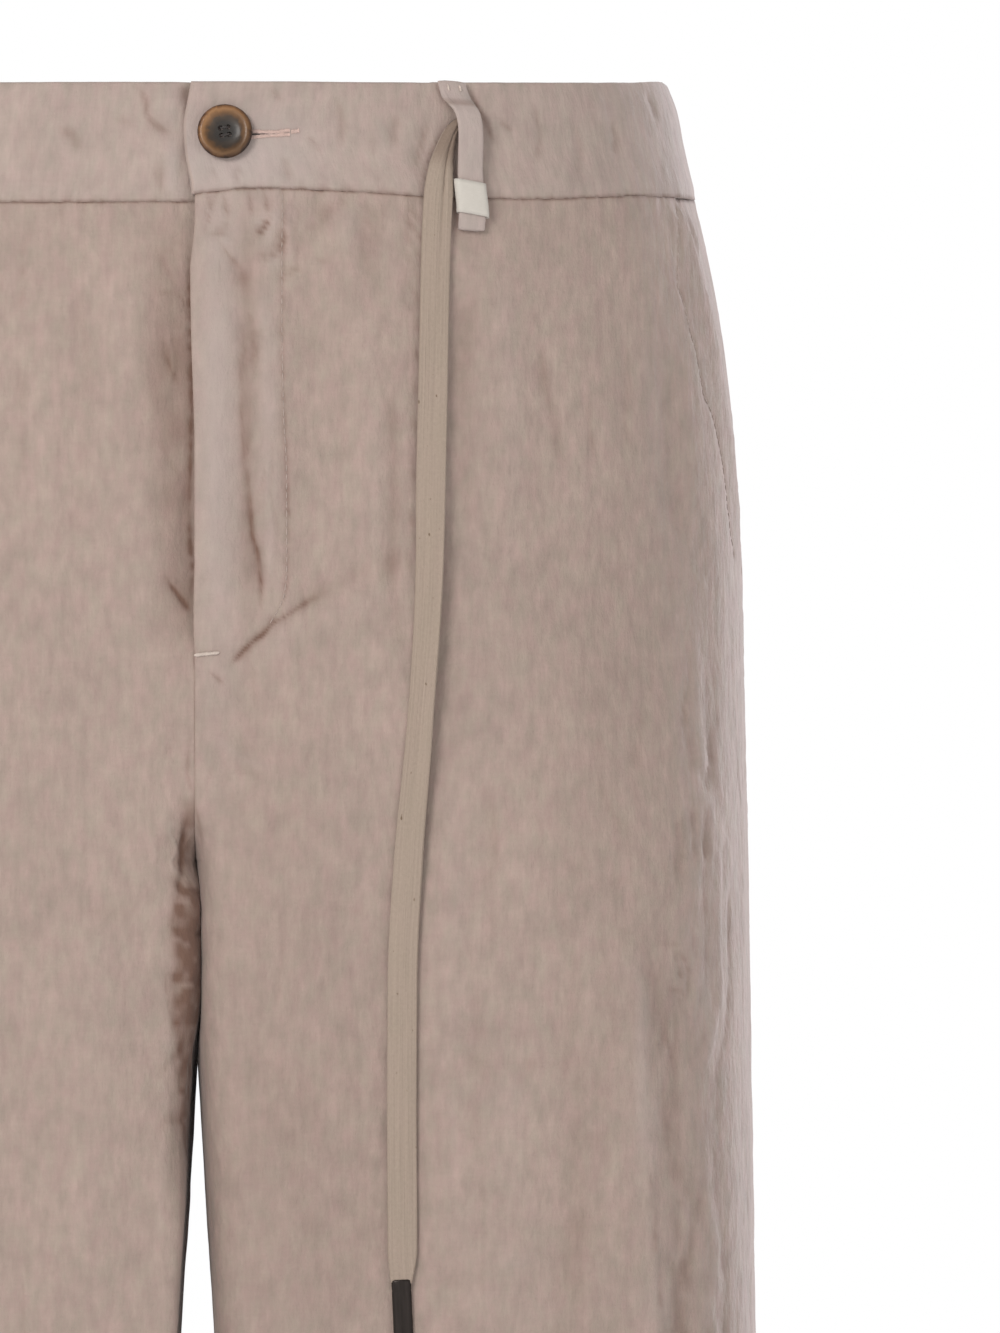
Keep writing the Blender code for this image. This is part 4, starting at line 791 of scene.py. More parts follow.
def tube(name, rings, uvs, turned=False, looped=False, attributes=None):
    """A closed mesh through rings of points. looped joins the last ring to the first; otherwise both ends are
    capped. uvs has one more column than rings, so that a pattern runs on over the ring's last face."""
    count, around = rings.shape[:2]
    ids = grid_ids(count, around)
    wrapped = np.concatenate([ids, ids[:, :1]], axis=1)
    uv_ids = grid_ids(count, around + 1)
    if looped:
        wrapped = np.concatenate([wrapped, wrapped[:1]])
        uv_ids = np.concatenate([uv_ids, uv_ids[:1]])
    faces, uv_faces = quads(wrapped, turned), quads(uv_ids, turned)
    if not looped:
        for end, reverse in ((0, turned), (-1, not turned)):
            cap, uv_cap = wrapped[end, :-1].tolist(), uv_ids[end, :-1].tolist()
            faces.append(cap[::-1] if reverse else cap)
            uv_faces.append(uv_cap[::-1] if reverse else uv_cap)
    corner_uvs = uvs.reshape(-1, 2)[[i for face in uv_faces for i in face]]
    return finish_mesh(name, rings.reshape(-1, 3), faces, corner_uvs, attributes)


# ---------------------------------------------------------------- materials

ShadeTree = namedtuple("ShadeTree", "nodes links shader")
# The colour of painted shade in creases and hollows, and the gains that make raised places pale, partly wear
# and partly painted highlight.
LINEN_SHADE = (0.150, 0.076, 0.050)
PALENESS_GAIN = (1.18, 1.29, 1.38)


def new_material(name, roughness, sheen=0.0, metallic=0.0):
    """A material with its shader, and its constant values on the shader's own sockets."""
    material = bpy.data.materials.new(name)
    material.use_nodes = True
    tree = material.node_tree
    shader = tree.nodes["Principled BSDF"]
    shader.inputs["Roughness"].default_value = roughness
    shader.inputs["Metallic"].default_value = metallic
    shader.inputs["Sheen Weight"].default_value = sheen
    shader.inputs["Sheen Roughness"].default_value = 0.45
    shader.inputs["Sheen Tint"].default_value = (1.0, 0.95, 0.92, 1.0)
    return material, ShadeTree(tree.nodes, tree.links, shader)


def put(tree, kind, inputs=None, **settings):
    """Adds a node to any kind of tree, sets its properties and feeds or sets its inputs."""
    node = tree.nodes.new(kind)
    for key, value in settings.items():
        setattr(node, key, value)
    for key, value in (inputs or {}).items():
        if isinstance(value, bpy.types.NodeSocket):
            tree.links.new(value, node.inputs[key])
        else:
            node.inputs[key].default_value = value
    return node


def stretched_noise(tree, place, across, down, detail=3.0, roughness=0.55, shift=(0.0, 0.0)):
    """Noise whose grain is across metres wide and down metres long, from 0 to 1."""
    mapping = put(tree, "ShaderNodeMapping", {"Vector": place, "Location": (*shift, 0.0),
                                              "Scale": (1 / across, 1 / down, 1.0)})
    grain = put(tree, "ShaderNodeTexNoise", {"Vector": mapping.outputs[0], "Scale": 1.0, "Detail": detail,
                                             "Roughness": roughness})
    return grain.outputs["Fac"]


def cloth_place(tree):
    """The place on the cloth, in metres along and down it."""
    return put(tree, "ShaderNodeUVMap", uv_map="cloth").outputs[0]


def point_value(tree, name):
    """A value that the mesh holds at each point."""
    return put(tree, "ShaderNodeAttribute", attribute_name=name).outputs["Fac"]


def math_node(tree, operation, first, second=0.0, clamp=False):
    """One sum of two values."""
    node = put(tree, "ShaderNodeMath", {0: first, 1: second}, operation=operation, use_clamp=clamp)
    return node.outputs[0]


def spread_about(tree, value, middle, gain, level=1.0):
    """level plus gain times the value's distance from its middle."""
    ends = {"From Min": middle - 0.5, "From Max": middle + 0.5, "To Min": level - gain / 2,
            "To Max": level + gain / 2}
    return put(tree, "ShaderNodeMapRange", {"Value": value, **ends}, clamp=False).outputs[0]


def mixed(tree, factor, first, second, blend="MIX"):
    """Two colours mixed, or the second laid on the first by a blend mode."""
    node = put(tree, "ShaderNodeMix", data_type="RGBA", blend_type=blend)
    for index, value in ((0, factor), (6, first), (7, second)):
        if isinstance(value, bpy.types.NodeSocket):
            tree.links.new(value, node.inputs[index])
        elif index:
            node.inputs[index].default_value = (*value, 1.0)
        else:
            node.inputs[index].default_value = value
    return node.outputs[2]


def scaled_color(tree, color, factor):
    """A colour times a number."""
    node = put(tree, "ShaderNodeVectorMath", {0: color, "Scale": factor}, operation="SCALE")
    return node.outputs[0]


def color_node(tree, color):
    """A plain colour."""
    node = put(tree, "ShaderNodeRGB")
    node.outputs[0].default_value = (*color, 1.0)
    return node.outputs[0]


def coat(tree, color, relief=None):
    """Gives the shader its colour, and its relief, in metres, as a bump."""
    tree.links.new(color, tree.shader.inputs["Base Color"])
    if relief is not None:
        raised = put(tree, "ShaderNodeBump", {"Height": relief, "Strength": 1.0, "Distance": 1.0})
        tree.links.new(raised.outputs[0], tree.shader.inputs["Normal"])


def linen_material(name, base, rosy, grey, dark, bump=1.0, seed=0.0):
    """Washed, garment-dyed plain linen: slubby yarns both ways, cloudy dye, painted shade in the creases and
    pale ridges, partly wear and partly painted highlight."""
    material, tree = new_material(name, 0.88, sheen=0.18)
    place = cloth_place(tree)
    shift = (seed, seed * 1.7)
    clouds = stretched_noise(tree, place, 0.026, 0.036, 4.0, 0.6, shift)
    hue = stretched_noise(tree, place, 0.0050, 0.0095, 3.0, 0.6, (shift[0] + 3.1, shift[1]))
    streaks = stretched_noise(tree, place, 0.0026, 0.0105, 3.0, 0.55, (shift[0] + 7.7, shift[1]))
    warp = stretched_noise(tree, place, 0.0009, 0.0070, 3.0, 0.65, (shift[0] + 1.3, shift[1]))
    weft = stretched_noise(tree, place, 0.0060, 0.0009, 3.0, 0.65, (shift[0] + 5.9, shift[1]))
    blotches = stretched_noise(tree, place, 0.0055, 0.0080, 2.0, 0.5, (shift[0] + 9.3, shift[1]))

    color = mixed(tree, spread_about(tree, hue, 0.5, 3.0, 0.5), grey, rosy)
    color = mixed(tree, 0.3, color, base)
    level = spread_about(tree, clouds, 0.5, 0.30)
    for grain, gain in ((streaks, 0.30), (warp, 0.10), (weft, 0.09), (blotches, 0.32)):
        level = math_node(tree, "MULTIPLY", level, spread_about(tree, grain, 0.5, gain))
    color = scaled_color(tree, color, level)
    pale = tuple(channel * gain for channel, gain in zip(base, PALENESS_GAIN))
    # Pale where the cloth is raised, partly wear and partly painted highlight.
    color = mixed(tree, math_node(tree, "MULTIPLY", point_value(tree, "worn"), 0.55, clamp=True), color, pale)
    # Painted shade where the cloth is sunk in creases and hollows, and along its seams.
    color = mixed(tree, math_node(tree, "MULTIPLY", point_value(tree, "sunk"), 0.9, clamp=True), color, dark)

    crinkle = stretched_noise(tree, place, 0.0038, 0.0090, 5.0, 0.60, (shift[0] + 2.2, shift[1]))
    creased = stretched_noise(tree, place, 0.011, 0.007, 4.0, 0.6, (shift[0] + 4.4, shift[1]))
    threads = math_node(tree, "MULTIPLY", warp, 0.00008)
    relief = math_node(tree, "MULTIPLY", crinkle, 0.00075 * bump)
    relief = math_node(tree, "ADD", relief, math_node(tree, "MULTIPLY", creased, 0.00045 * bump))
    relief = math_node(tree, "ADD", relief, threads)
    coat(tree, color, math_node(tree, "ADD", relief, math_node(tree, "MULTIPLY", weft, 0.00006)))
    return material


linen = linen_material("linen_cloth", (0.378, 0.287, 0.247), (0.396, 0.284, 0.250), (0.358, 0.290, 0.238),
                       LINEN_SHADE)
band_linen = linen_material("band_linen_cloth", (0.400, 0.312, 0.275), (0.414, 0.308, 0.276),
                            (0.378, 0.312, 0.264), LINEN_SHADE, bump=0.8, seed=11.0)


def tape_material():
    """A flat khaki twill tape with fine lengthwise ribs, stray dark fibres, and painted shade in its fold and
    along its edges.
    """
    material, tree = new_material("tape_cloth", 0.9, sheen=0.12)
    place = cloth_place(tree)
    ribs = stretched_noise(tree, place, 0.0006, 0.060, 2.0, 0.5)
    weave = stretched_noise(tree, place, 0.0011, 0.0011, 3.0, 0.6, (2.0, 5.0))
    clouds = stretched_noise(tree, place, 0.008, 0.020, 3.0, 0.5, (6.0, 1.0))
    fibres = stretched_noise(tree, place, 0.0016, 0.0028, 1.0, 0.5, (8.0, 3.0))
    warm = spread_about(tree, clouds, 0.5, 1.6, 0.5)
    color = mixed(tree, warm, (0.372, 0.286, 0.232), (0.346, 0.276, 0.216))
    level = spread_about(tree, ribs, 0.5, 0.30)
    level = math_node(tree, "MULTIPLY", level, spread_about(tree, weave, 0.5, 0.22))
    color = scaled_color(tree, color, level)
    specks = put(tree, "ShaderNodeMapRange", {"Value": fibres, "From Min": 0.74, "From Max": 0.80}).outputs[0]
    color = mixed(tree, specks, color, (0.16, 0.11, 0.07))
    # Painted shade where the tape is folded and at its edges.
    sunk = math_node(tree, "MULTIPLY", point_value(tree, "sunk"), 0.85, clamp=True)
    color = mixed(tree, sunk, color, (0.16, 0.105, 0.075))
    relief = math_node(tree, "MULTIPLY", ribs, 0.0003)
    coat(tree, color, math_node(tree, "ADD", relief, math_node(tree, "MULTIPLY", weave, 0.0002)))
    return material


def label_material():
    """A smooth ivory woven tab, left blank."""
    material, tree = new_material("label_cloth", 0.7, sheen=0.1)
    place = cloth_place(tree)
    weave = stretched_noise(tree, place, 0.0016, 0.0003, 2.0, 0.5)
    clouds = stretched_noise(tree, place, 0.004, 0.004, 2.0, 0.5, (3.0, 3.0))
    level = spread_about(tree, weave, 0.5, 0.12)
    level = math_node(tree, "MULTIPLY", level, spread_about(tree, clouds, 0.5, 0.12))
    color = scaled_color(tree, color_node(tree, (0.57, 0.53, 0.475)), level)
    coat(tree, color, math_node(tree, "MULTIPLY", weave, 0.0001))
    return material


HORN_LIT_FROM = (-0.60, 0.80, 0.0)
# The horn's tones from the middle out: darkest in the hollow and at the outer edge, partly the horn's own
# tone and partly painted shade.
HORN_TONES_AND_SHADE = [
    (0.0, (0.012, 0.010, 0.009)), (0.45, (0.032, 0.026, 0.022)), (0.62, (0.060, 0.040, 0.027)),
    (0.72, (0.140, 0.070, 0.030)), (0.85, (0.235, 0.118, 0.048)), (0.95, (0.120, 0.052, 0.020)),
    (1.0, (0.036, 0.016, 0.009)),
]


def horn_material():
    """Polished horn: amber at the rim, running to near black in the hollow, partly its own smoky tone and
    partly painted shade, with cloudy streaks and painted light from one side.
    """
    material, tree = new_material("button_horn", 0.38)
    tree.shader.inputs["Specular IOR Level"].default_value = 0.3
    tree.shader.inputs["Coat Weight"].default_value = 0.12
    tree.shader.inputs["Coat Roughness"].default_value = 0.16
    place = cloth_place(tree)
    out = put(tree, "ShaderNodeVectorMath", {0: place}, operation="LENGTH").outputs[1]
    swirl = put(tree, "ShaderNodeTexNoise", {"Vector": place, "Scale": 260.0, "Detail": 4.0,
                                             "Distortion": 1.2})
    edge = math_node(tree, "MULTIPLY_ADD", swirl.outputs["Fac"], 0.0030)
    tree.nodes[-1].inputs[2].default_value = 0.0
    tree.links.new(out, tree.nodes[-1].inputs[2])
    ramp = put(tree, "ShaderNodeValToRGB")
    stops = ramp.color_ramp.elements
    for index, (spot, color) in enumerate(HORN_TONES_AND_SHADE):
        stop = stops[index] if index < 2 else stops.new(spot)
        stop.position = spot
        stop.color = (*color, 1.0)
    share = put(tree, "ShaderNodeMapRange", {"Value": edge, "From Max": BUTTON_RADIUS + 0.0015}).outputs[0]
    tree.links.new(share, ramp.inputs[0])
    # Painted light: the horn is brighter on one side and darker on the other.
    lean = put(tree, "ShaderNodeVectorMath", {0: place, 1: HORN_LIT_FROM}, operation="DOT_PRODUCT").outputs[1]
    ends = {"From Min": -BUTTON_RADIUS, "From Max": BUTTON_RADIUS, "To Min": 0.45, "To Max": 1.35}
    lit = put(tree, "ShaderNodeMapRange", {"Value": lean, **ends}).outputs[0]
    coat(tree, scaled_color(tree, ramp.outputs[0], lit))
    return material


def metal_material():
    """The drawstring tip's dark satin metal with faint scratches."""
    material, tree = new_material("tip_metal", 0.34, metallic=0.85)
    place = cloth_place(tree)
    scratches = stretched_noise(tree, place, 0.0006, 0.012, 3.0, 0.6)
    coat(tree, mixed(tree, scratches, (0.020, 0.016, 0.014), (0.050, 0.040, 0.036)))
    dulled = put(tree, "ShaderNodeMapRange", {"Value": scratches, "To Min": 0.25, "To Max": 0.5})
    tree.links.new(dulled.outputs[0], tree.shader.inputs["Roughness"])
    return material


def thread_material(name, color):
    """Spun sewing thread."""
    material, tree = new_material(name, 0.75, sheen=0.2)
    place = put(tree, "ShaderNodeTexCoord").outputs["Object"]
    twist = put(tree, "ShaderNodeTexNoise", {"Vector": place, "Scale": 900.0, "Detail": 2.0}).outputs["Fac"]
    coat(tree, scaled_color(tree, color_node(tree, color), spread_about(tree, twist, 0.5, 0.5)))
    return material


tape_cloth = tape_material()
label_cloth = label_material()
horn = horn_material()
tip_metal = metal_material()
seam_thread = thread_material("seam_thread", (0.400, 0.315, 0.275))
pale_thread = thread_material("pale_thread", (0.560, 0.470, 0.410))
rosy_thread = thread_material("rosy_thread", (0.620, 0.455, 0.400))
# Near-black thread: real in the button's holes, and laid along the buttonhole's slit as painted shadow.
dark_thread_and_slit_shadow = thread_material("dark_thread_and_slit_shadow", (0.035, 0.028, 0.026))

# ---------------------------------------------------------------- the fronts and backs

Panel = namedtuple("Panel", "side face drops arcs xs points normals piece")

FLY_EDGE = table_curve([(0.036, -0.0014), (0.044, -0.0002), (0.050, 0.0004), (0.060, 0.0014), (0.080, 0.0011),
                        (0.100, 0.0004), (0.125, -0.0003), (0.150, -0.0001), (0.168, 0.0003), (0.183, 0.0)])
# How far the left front and band stand up over the right ones, and how far those dive in beneath them.
FLY_LIFT = 0.0013
FLY_LIFT_END = 0.039
FLY_DIVE = 0.0014
LAP_CLOSES_FROM = 0.172
LAP_CLOSED = 0.190
DIVE_WIDTH = 0.009
BAND_LIFT = 0.0012
BAND_LIFT_END = 0.052
BAND_DIVE = 0.0016
POCKET_GAPE = 0.0016
SEAM_FADE = 0.010
EDGE_ROUND = 0.0009

# How far the band seam lies above (where less than 0) or below its plain level, at each x of the front.
BAND_SEAM = {
    LEFT: table_curve([(0.0, 0.0), (0.006, -0.0008), (0.018, -0.0016), (0.030, -0.0016), (0.049, -0.0009),
                       (0.065, -0.0001), (0.078, 0.0009), (0.093, 0.0012), (0.115, 0.0010), (0.130, 0.0001),
                       (0.156, -0.0005), (0.160, 0.0)]),
    RIGHT: table_curve([(0.0, 0.0022), (0.06, 0.0024), (0.10, 0.0014), (0.15, 0.0), (0.16, 0.0)]),
}
SEAM_SHIFT_FADE = 0.030

ROW_SPACING = [(0.036, 0.0009), (0.044, 0.0014), (0.140, 0.0014), (0.152, 0.0008), (0.190, 0.0008),
               (0.200, 0.0015), (0.232, 0.0012), (0.243, 0.0006), (0.246, 0.0004), (0.250, 0.0008),
               (0.262, 0.0015), (0.340, 0.0020), (0.488, 0.0026), (0.490, 0.0005)]
BACK_ROW_SPACING = [(0.036, 0.0012), (0.050, 0.0018), (0.225, 0.0018), (0.244, 0.0004), (0.246, 0.0003),
                    (0.252, 0.0010), (0.270, 0.0020), (0.488, 0.0023), (0.490, 0.0005)]
# The columns stand at these arcs on every row, so that they hang straight down. Those past a row's own inner
# edge are drawn up beside it, and those near the pocket mouth share the room outside it.
COLUMN_SPACING = [(0.0, 0.0004), (0.002, 0.0010), (0.055, 0.0011), (0.070, 0.0020), (0.165, 0.0020),
                  (0.180, 0.00065), (0.246, 0.00065), (0.258, 0.0009), (0.275, 0.0032), (0.345, 0.0040)]
BACK_COLUMN_SPACING = [(0.0, 0.0006), (0.004, 0.0018), (0.280, 0.0018), (0.300, 0.0034), (0.375, 0.0040)]
DRAWN_UP = 0.00002
EDGE_ROOM = 0.11
GRAIN_X = 0.085  # the weave runs straight down from here
BROAD_STRIDE = 4
SEAM_SHADE = 0.0006


def fly_edge_past(side, drop):
    """How far a front runs on past the middle plane."""
    if side == LEFT:
        return float(FLY_EDGE(drop)) * (1.0 - ease((drop - FLY_DROP + 0.006) / 0.006))
    return UNDER_FLY * (1.0 - ease((drop - FLY_DROP + UNDER_FLY_FOOT) / UNDER_FLY_FOOT))


def fly_lap(side, x, drops):
    """The left front stands over the right one as far as the fly's stitching; the right one dives in under
    it."""
    open_share = 1.0 - ease((drops - LAP_CLOSES_FROM) / (LAP_CLOSED - LAP_CLOSES_FROM))
    if side == RIGHT:
        return -FLY_DIVE * (1.0 - ease((x + 0.0008) / DIVE_WIDTH)) * open_share
    return FLY_LIFT * (1.0 - ease((x - FLY_WIDTH) / (FLY_LIFT_END - FLY_WIDTH))) * open_share


# The fly's stitching, as (x, drop): straight down beside the stand, then curving in to the foot of the fly.
FLY_STITCH = [(0.0276, 0.0372), (0.0275, 0.0700), (0.0280, 0.1040), (0.0290, 0.1240), (0.0291, 0.1540),
              (0.0284, 0.1620), (0.0266, 0.1668), (0.0236, 0.1720), (0.0196, 0.1770), (0.0150, 0.1816),
              (0.0117, 0.1845)]
# The pocket mouth's stitching, as (x, drop).
POCKET_STITCH = [(0.1527, 0.0400), (0.1534, 0.0580), (0.1533, 0.0640), (0.1550, 0.0685), (0.1561, 0.0743),
                 (0.1574, 0.0797), (0.1587, 0.0840), (0.1600, 0.0910), (0.1614, 0.0985), (0.1640, 0.1048),
                 (0.1664, 0.1150), (0.1683, 0.1260), (0.1700, 0.1400), (0.1714, 0.1500)]


def stitch_trough(path, side, face, arcs, drops, depth, width):
    """The shallow furrow that a row of stitches pulls into the cloth."""
    spots = rounded_path(path, side, face, 4)
    low, high = spots.min(axis=0) - 4 * width, spots.max(axis=0) + 4 * width
    inside = (arcs > low[0]) & (arcs < high[0]) & (drops > low[1]) & (drops < high[1])
    result = np.zeros(arcs.shape)
    away, along, _ = from_path(spots, arcs[inside], drops[inside])
    pulled = 1.0 + 0.6 * noise(along / 0.0026, along * 0, 31)
    result[inside] = -depth * pulled * np.exp(-(away / width) ** 2)
    return result


def leg_press(side, drops, insets):
    """Where the thighs touch, the right leg's cloth presses the left one's aside: both bend over this far."""
    touching = ease((drops - CROTCH_DROP) / 0.012) * (1.0 - ease((drops - LEGS_PART_DROP + 0.018) / 0.028))
    return LEG_PRESS * touching * (1.0 - ease((insets - LEG_PRESS_REACH[side]) / 0.02))


def front_relief(side, xs, arcs, insets, drops):
    """How far a front stands out from the plain surface."""
    sewn = ease(arcs / SEAM_FADE)
    sewn = np.where(drops > FLY_DROP, sewn * ease(insets / SEAM_FADE + 0.12), sewn)
    mouth = pocket_mouth_arc(drops)
    gape = POCKET_GAPE * ease((mouth - 0.006) / 0.018) * ease((drops - BAND_HEIGHT) / 0.010)
    gape = gape * (1.0 - ease((arcs - mouth) / 0.016))
    relief = sewn * crease_relief(FRONT_CREASES[side], side, FRONT, arcs, drops)
    relief += stitch_trough(POCKET_STITCH, side, FRONT, arcs, drops, 0.00030, 0.0011)
    if side == LEFT:
        relief += stitch_trough(FLY_STITCH, side, FRONT, arcs, drops, 0.00035, 0.0012)
    return relief + gape + fly_lap(side, xs, drops)


def back_relief(side, xs, arcs, insets, drops):
    """How far a back stands out from the plain surface."""
    sewn = ease(arcs / SEAM_FADE) * ease(insets / SEAM_FADE + 0.1)
    return sewn * BACK_SOFTNESS * crease_relief(BACK_CREASES[side], side, BACK, arcs, drops)


def seam_pucker(u, from_seam, seed):
    """Small tucks that a sewn seam gathers beside itself."""
    tucks = noise(u / 0.0036, u * 0, seed) + 0.6 * noise(u / 0.0017, u * 0, seed + 1)
    return 0.00026 * tucks * np.exp(-np.maximum(from_seam, 0.0) / 0.0045)


def evened_out(field):
    """A grid's values smoothed over about a centimetre."""
    rows, columns = field.shape
    coarse = smoothed(field[::BROAD_STRIDE, ::BROAD_STRIDE], 10)
    r = np.clip(np.arange(rows) / BROAD_STRIDE, 0, coarse.shape[0] - 1.001)
    c = np.clip(np.arange(columns) / BROAD_STRIDE, 0, coarse.shape[1] - 1.001)
    r0, c0 = r.astype(int), c.astype(int)
    s, t = (r - r0)[:, None], (c - c0)[None, :]
    upper = coarse[r0][:, c0] * (1 - t) + coarse[r0][:, c0 + 1] * t
    lower = coarse[r0 + 1][:, c0] * (1 - t) + coarse[r0 + 1][:, c0 + 1] * t
    return upper * (1 - s) + lower * s


def shade_and_pale_marks(relief, dye_and_shade, pale=0.0):
    """Painted shade on each place by how far it is sunk, and paleness on raised places, partly wear and
    partly painted highlight. The given seam dye and painted shade, and the pale, add to them.
    """
    stands = relief - smoothed(relief, 14)
    broad = relief - evened_out(relief)
    sunk = np.clip(-stands / 0.00045 - 0.10, 0.0, 1.0) * 0.30
    sunk += np.clip(-broad / 0.0011 - 0.15, 0.0, 1.0) * 0.16
    worn = np.clip(stands / 0.00045 - 0.10, 0.0, 1.0) * 0.25
    worn += np.clip(broad / 0.0012 - 0.1, 0.0, 1.0) * 0.20
    return {"sunk": np.clip(sunk + dye_and_shade, 0.0, 1.0), "worn": (worn + pale) * (1.0 - np.clip(dye_and_shade, 0.0, 1.0))}


def seam_line(distance, width, strength):
    """The dark line of shadow and dye along a seam."""
    return strength * np.exp(-(distance / width) ** 2)


def panel(name, side, face, row_spacing, column_spacing, relief_at, past_at, edge_arc_at, seed):
    """A front or back with its half of the leg: a grid on the plain surface, its relief and its marks."""
    drops = spaced_by(row_spacing, BAND_HEIGHT + SEWN_GAP / 2, TOTAL_DROP)
    columns = spaced_by(column_spacing, 0.0, column_spacing[-1][0])[::-1]
    beside_edge = DRAWN_UP * np.arange(len(columns))
    trim = SEWN_GAP / 2
    plain, arcs, grain = [], [], []
    for drop in drops:
        row = outline_row(side, face, drop, past_at(side, drop))
        inner, outer = row[2][-1] - trim, max(float(edge_arc_at(drop)), trim)
        at = columns + (outer - columns[-1]) * np.maximum(0.0, 1.0 - columns / EDGE_ROOM)
        at = inner - np.maximum(inner - at, beside_edge)
        plain.append(row_points(row, at, drop))
        arcs.append(at)
        grain.append(arc_at_x(row, GRAIN_X))
    plain, arcs = np.array(plain), np.array(arcs)
    grid_drops = np.repeat(drops[:, None], len(columns), axis=1)
    u = arcs - np.array(grain)[:, None]
    insets = arcs[:, :1] - arcs
    normals = outward_normals(plain) * -face
    xs = plain[:, :, 0].copy()
    relief = relief_at(side, xs, arcs, insets, grid_drops)
    at_edges = ease(np.minimum(insets, arcs) / 0.006)
    busy = 1.0 + (patches(BUSY[side], xs, grid_drops) if face == FRONT else 0.0)
    relief = relief + crumple(u, grid_drops, seed, busy) * (0.25 + 0.75 * at_edges)
    below_band = grid_drops - BAND_HEIGHT
    relief += seam_pucker(u, below_band, seed + 20)
    relief += 0.7 * seam_pucker(grid_drops, arcs - edge_arc_at(grid_drops), seed + 22)
    hem_up = TOTAL_DROP - grid_drops
    relief += 0.8 * seam_pucker(u, np.abs(hem_up - HEM_HEIGHT + 0.002), seed + 24)
    relief -= 0.00025 * np.exp(-((hem_up - HEM_HEIGHT + 0.002) / 0.0012) ** 2)
    seamed = ease((grid_drops - FLY_DROP) / 0.004) * (1.0 - ease((grid_drops - CROTCH_DROP) / 0.006))
    from_mouth = arcs - edge_arc_at(grid_drops)
    for from_edge, rounding in ((hem_up, 0.35), (insets, 0.35 - 0.27 * seamed), (from_mouth, 0.35)):
        turn = np.clip(1.0 - from_edge / EDGE_ROUND, 0.0, 1.0)
        relief -= EDGE_ROUND * (1.0 - np.sqrt(1.0 - turn**2)) * rounding
    # Painted shade: a dotted line along the band seam, lines along the inner edge and side seam, the shade
    # patches and the sharp creases. The pale patches are partly wear and partly painted highlight.
    dotted = 0.75 + 0.5 * noise(u / 0.0013, u * 0, seed + 30)
    seam_dye_and_shade = seam_line(below_band, SEAM_SHADE, 0.75) * dotted
    seam_dye_and_shade = seam_dye_and_shade + seam_line(insets, 0.0005, 0.22) + seam_line(arcs, SEAM_SHADE, 0.3)
    pale = 0.0
    if face == FRONT:
        blotchy = 1.0 + 0.3 * noise(u / 0.006, grid_drops / 0.011, seed + 40)
        seam_dye_and_shade = seam_dye_and_shade + patches(SHADE_PATCHES[side], xs, grid_drops) * blotchy
        broken = 0.8 + 0.5 * noise(u / 0.003, grid_drops / 0.0024, seed + 42)
        seam_dye_and_shade = seam_dye_and_shade + broken * crease_relief(SHADE_LINES[side], side, FRONT, arcs, grid_drops) / MM
        pale = patches(PALER[side], xs, grid_drops)
    points = plain + normals * relief[:, :, None]
    if face == FRONT:
        fade = np.exp(-(np.maximum(below_band, 0.0) / SEAM_SHIFT_FADE) ** 2)
        points[:, :, 2] -= BAND_SEAM[side](np.maximum(xs, 0.0)) * fade
    points[:, :, 0] = side * (points[:, :, 0] + trim) + leg_press(side, grid_drops, insets)
    normals = normals * (side, 1.0, 1.0)
    thickness = CLOTH + (HEM_CLOTH - CLOTH) * (1.0 - ease((hem_up - HEM_HEIGHT) / HEM_STEP))
    uvs = np.stack([u * side, grid_drops], axis=2)
    marks = shade_and_pale_marks(relief, seam_dye_and_shade, pale)
    piece = shell(name, points, normals, relief, thickness, uvs, (side * face) > 0, marks)
    piece.data.materials.append(linen)
    return Panel(side, face, drops, arcs, xs, points, normals, piece)


def nothing(*_):
    """For an edge that stays on the middle plane or the side seam."""
    return 0.0


def no_edge(drops):
    """The same for each drop of a grid."""
    return np.zeros(np.shape(drops))


fronts = {
    side: panel("front_" + word, side, FRONT, ROW_SPACING, COLUMN_SPACING, front_relief, fly_edge_past,
                pocket_mouth_arc, 100 + 50 * side)
    for side, word in SIDE_WORD.items()
}
backs = {
    side: panel("back_" + word, side, BACK, BACK_ROW_SPACING, BACK_COLUMN_SPACING, back_relief, nothing,
                no_edge,
                300 + 50 * side)
    for side, word in SIDE_WORD.items()
}


def on_panel(cloth, drops, xs=None, arcs=None):
    """Points, unit normals and unit vectors down the cloth, at places given by drop and by x or arc."""
    drops = np.atleast_1d(np.asarray(drops, float))
    coordinate = cloth.xs if arcs is None else -cloth.arcs
    wanted = np.atleast_1d(np.asarray(xs if arcs is None else -np.asarray(arcs, float), float))
    columns = np.arange(coordinate.shape[1])

    def at(values, drop, place):
        row = np.clip(np.interp(drop, cloth.drops, np.arange(len(cloth.drops))), 0, len(cloth.drops) - 1.001)
        r = int(row)
        found = []
        for k in (r, r + 1):
            column = np.clip(np.interp(place, coordinate[k], columns), 0, len(columns) - 1.001)
            c = int(column)
            found.append(values[k, c] + (values[k, c + 1] - values[k, c]) * (column - c))
        return found[0] + (found[1] - found[0]) * (row - r)

    step = 0.0015
    spots = np.array([at(cloth.points, d, w) for d, w in zip(drops, wanted)])
    outs = np.array([at(cloth.normals, d, w) for d, w in zip(drops, wanted)])
    lower = np.array([at(cloth.points, d + step, w) for d, w in zip(drops, wanted)])
    return spots, unit(outs), unit(lower - spots)


# ---------------------------------------------------------------- the waistband

BAND_ROWS = 30
INNER_BAND_ROWS = 10
BAND_TURN_STEPS = 6
BAND_FOOT_TAPER = 0.0035
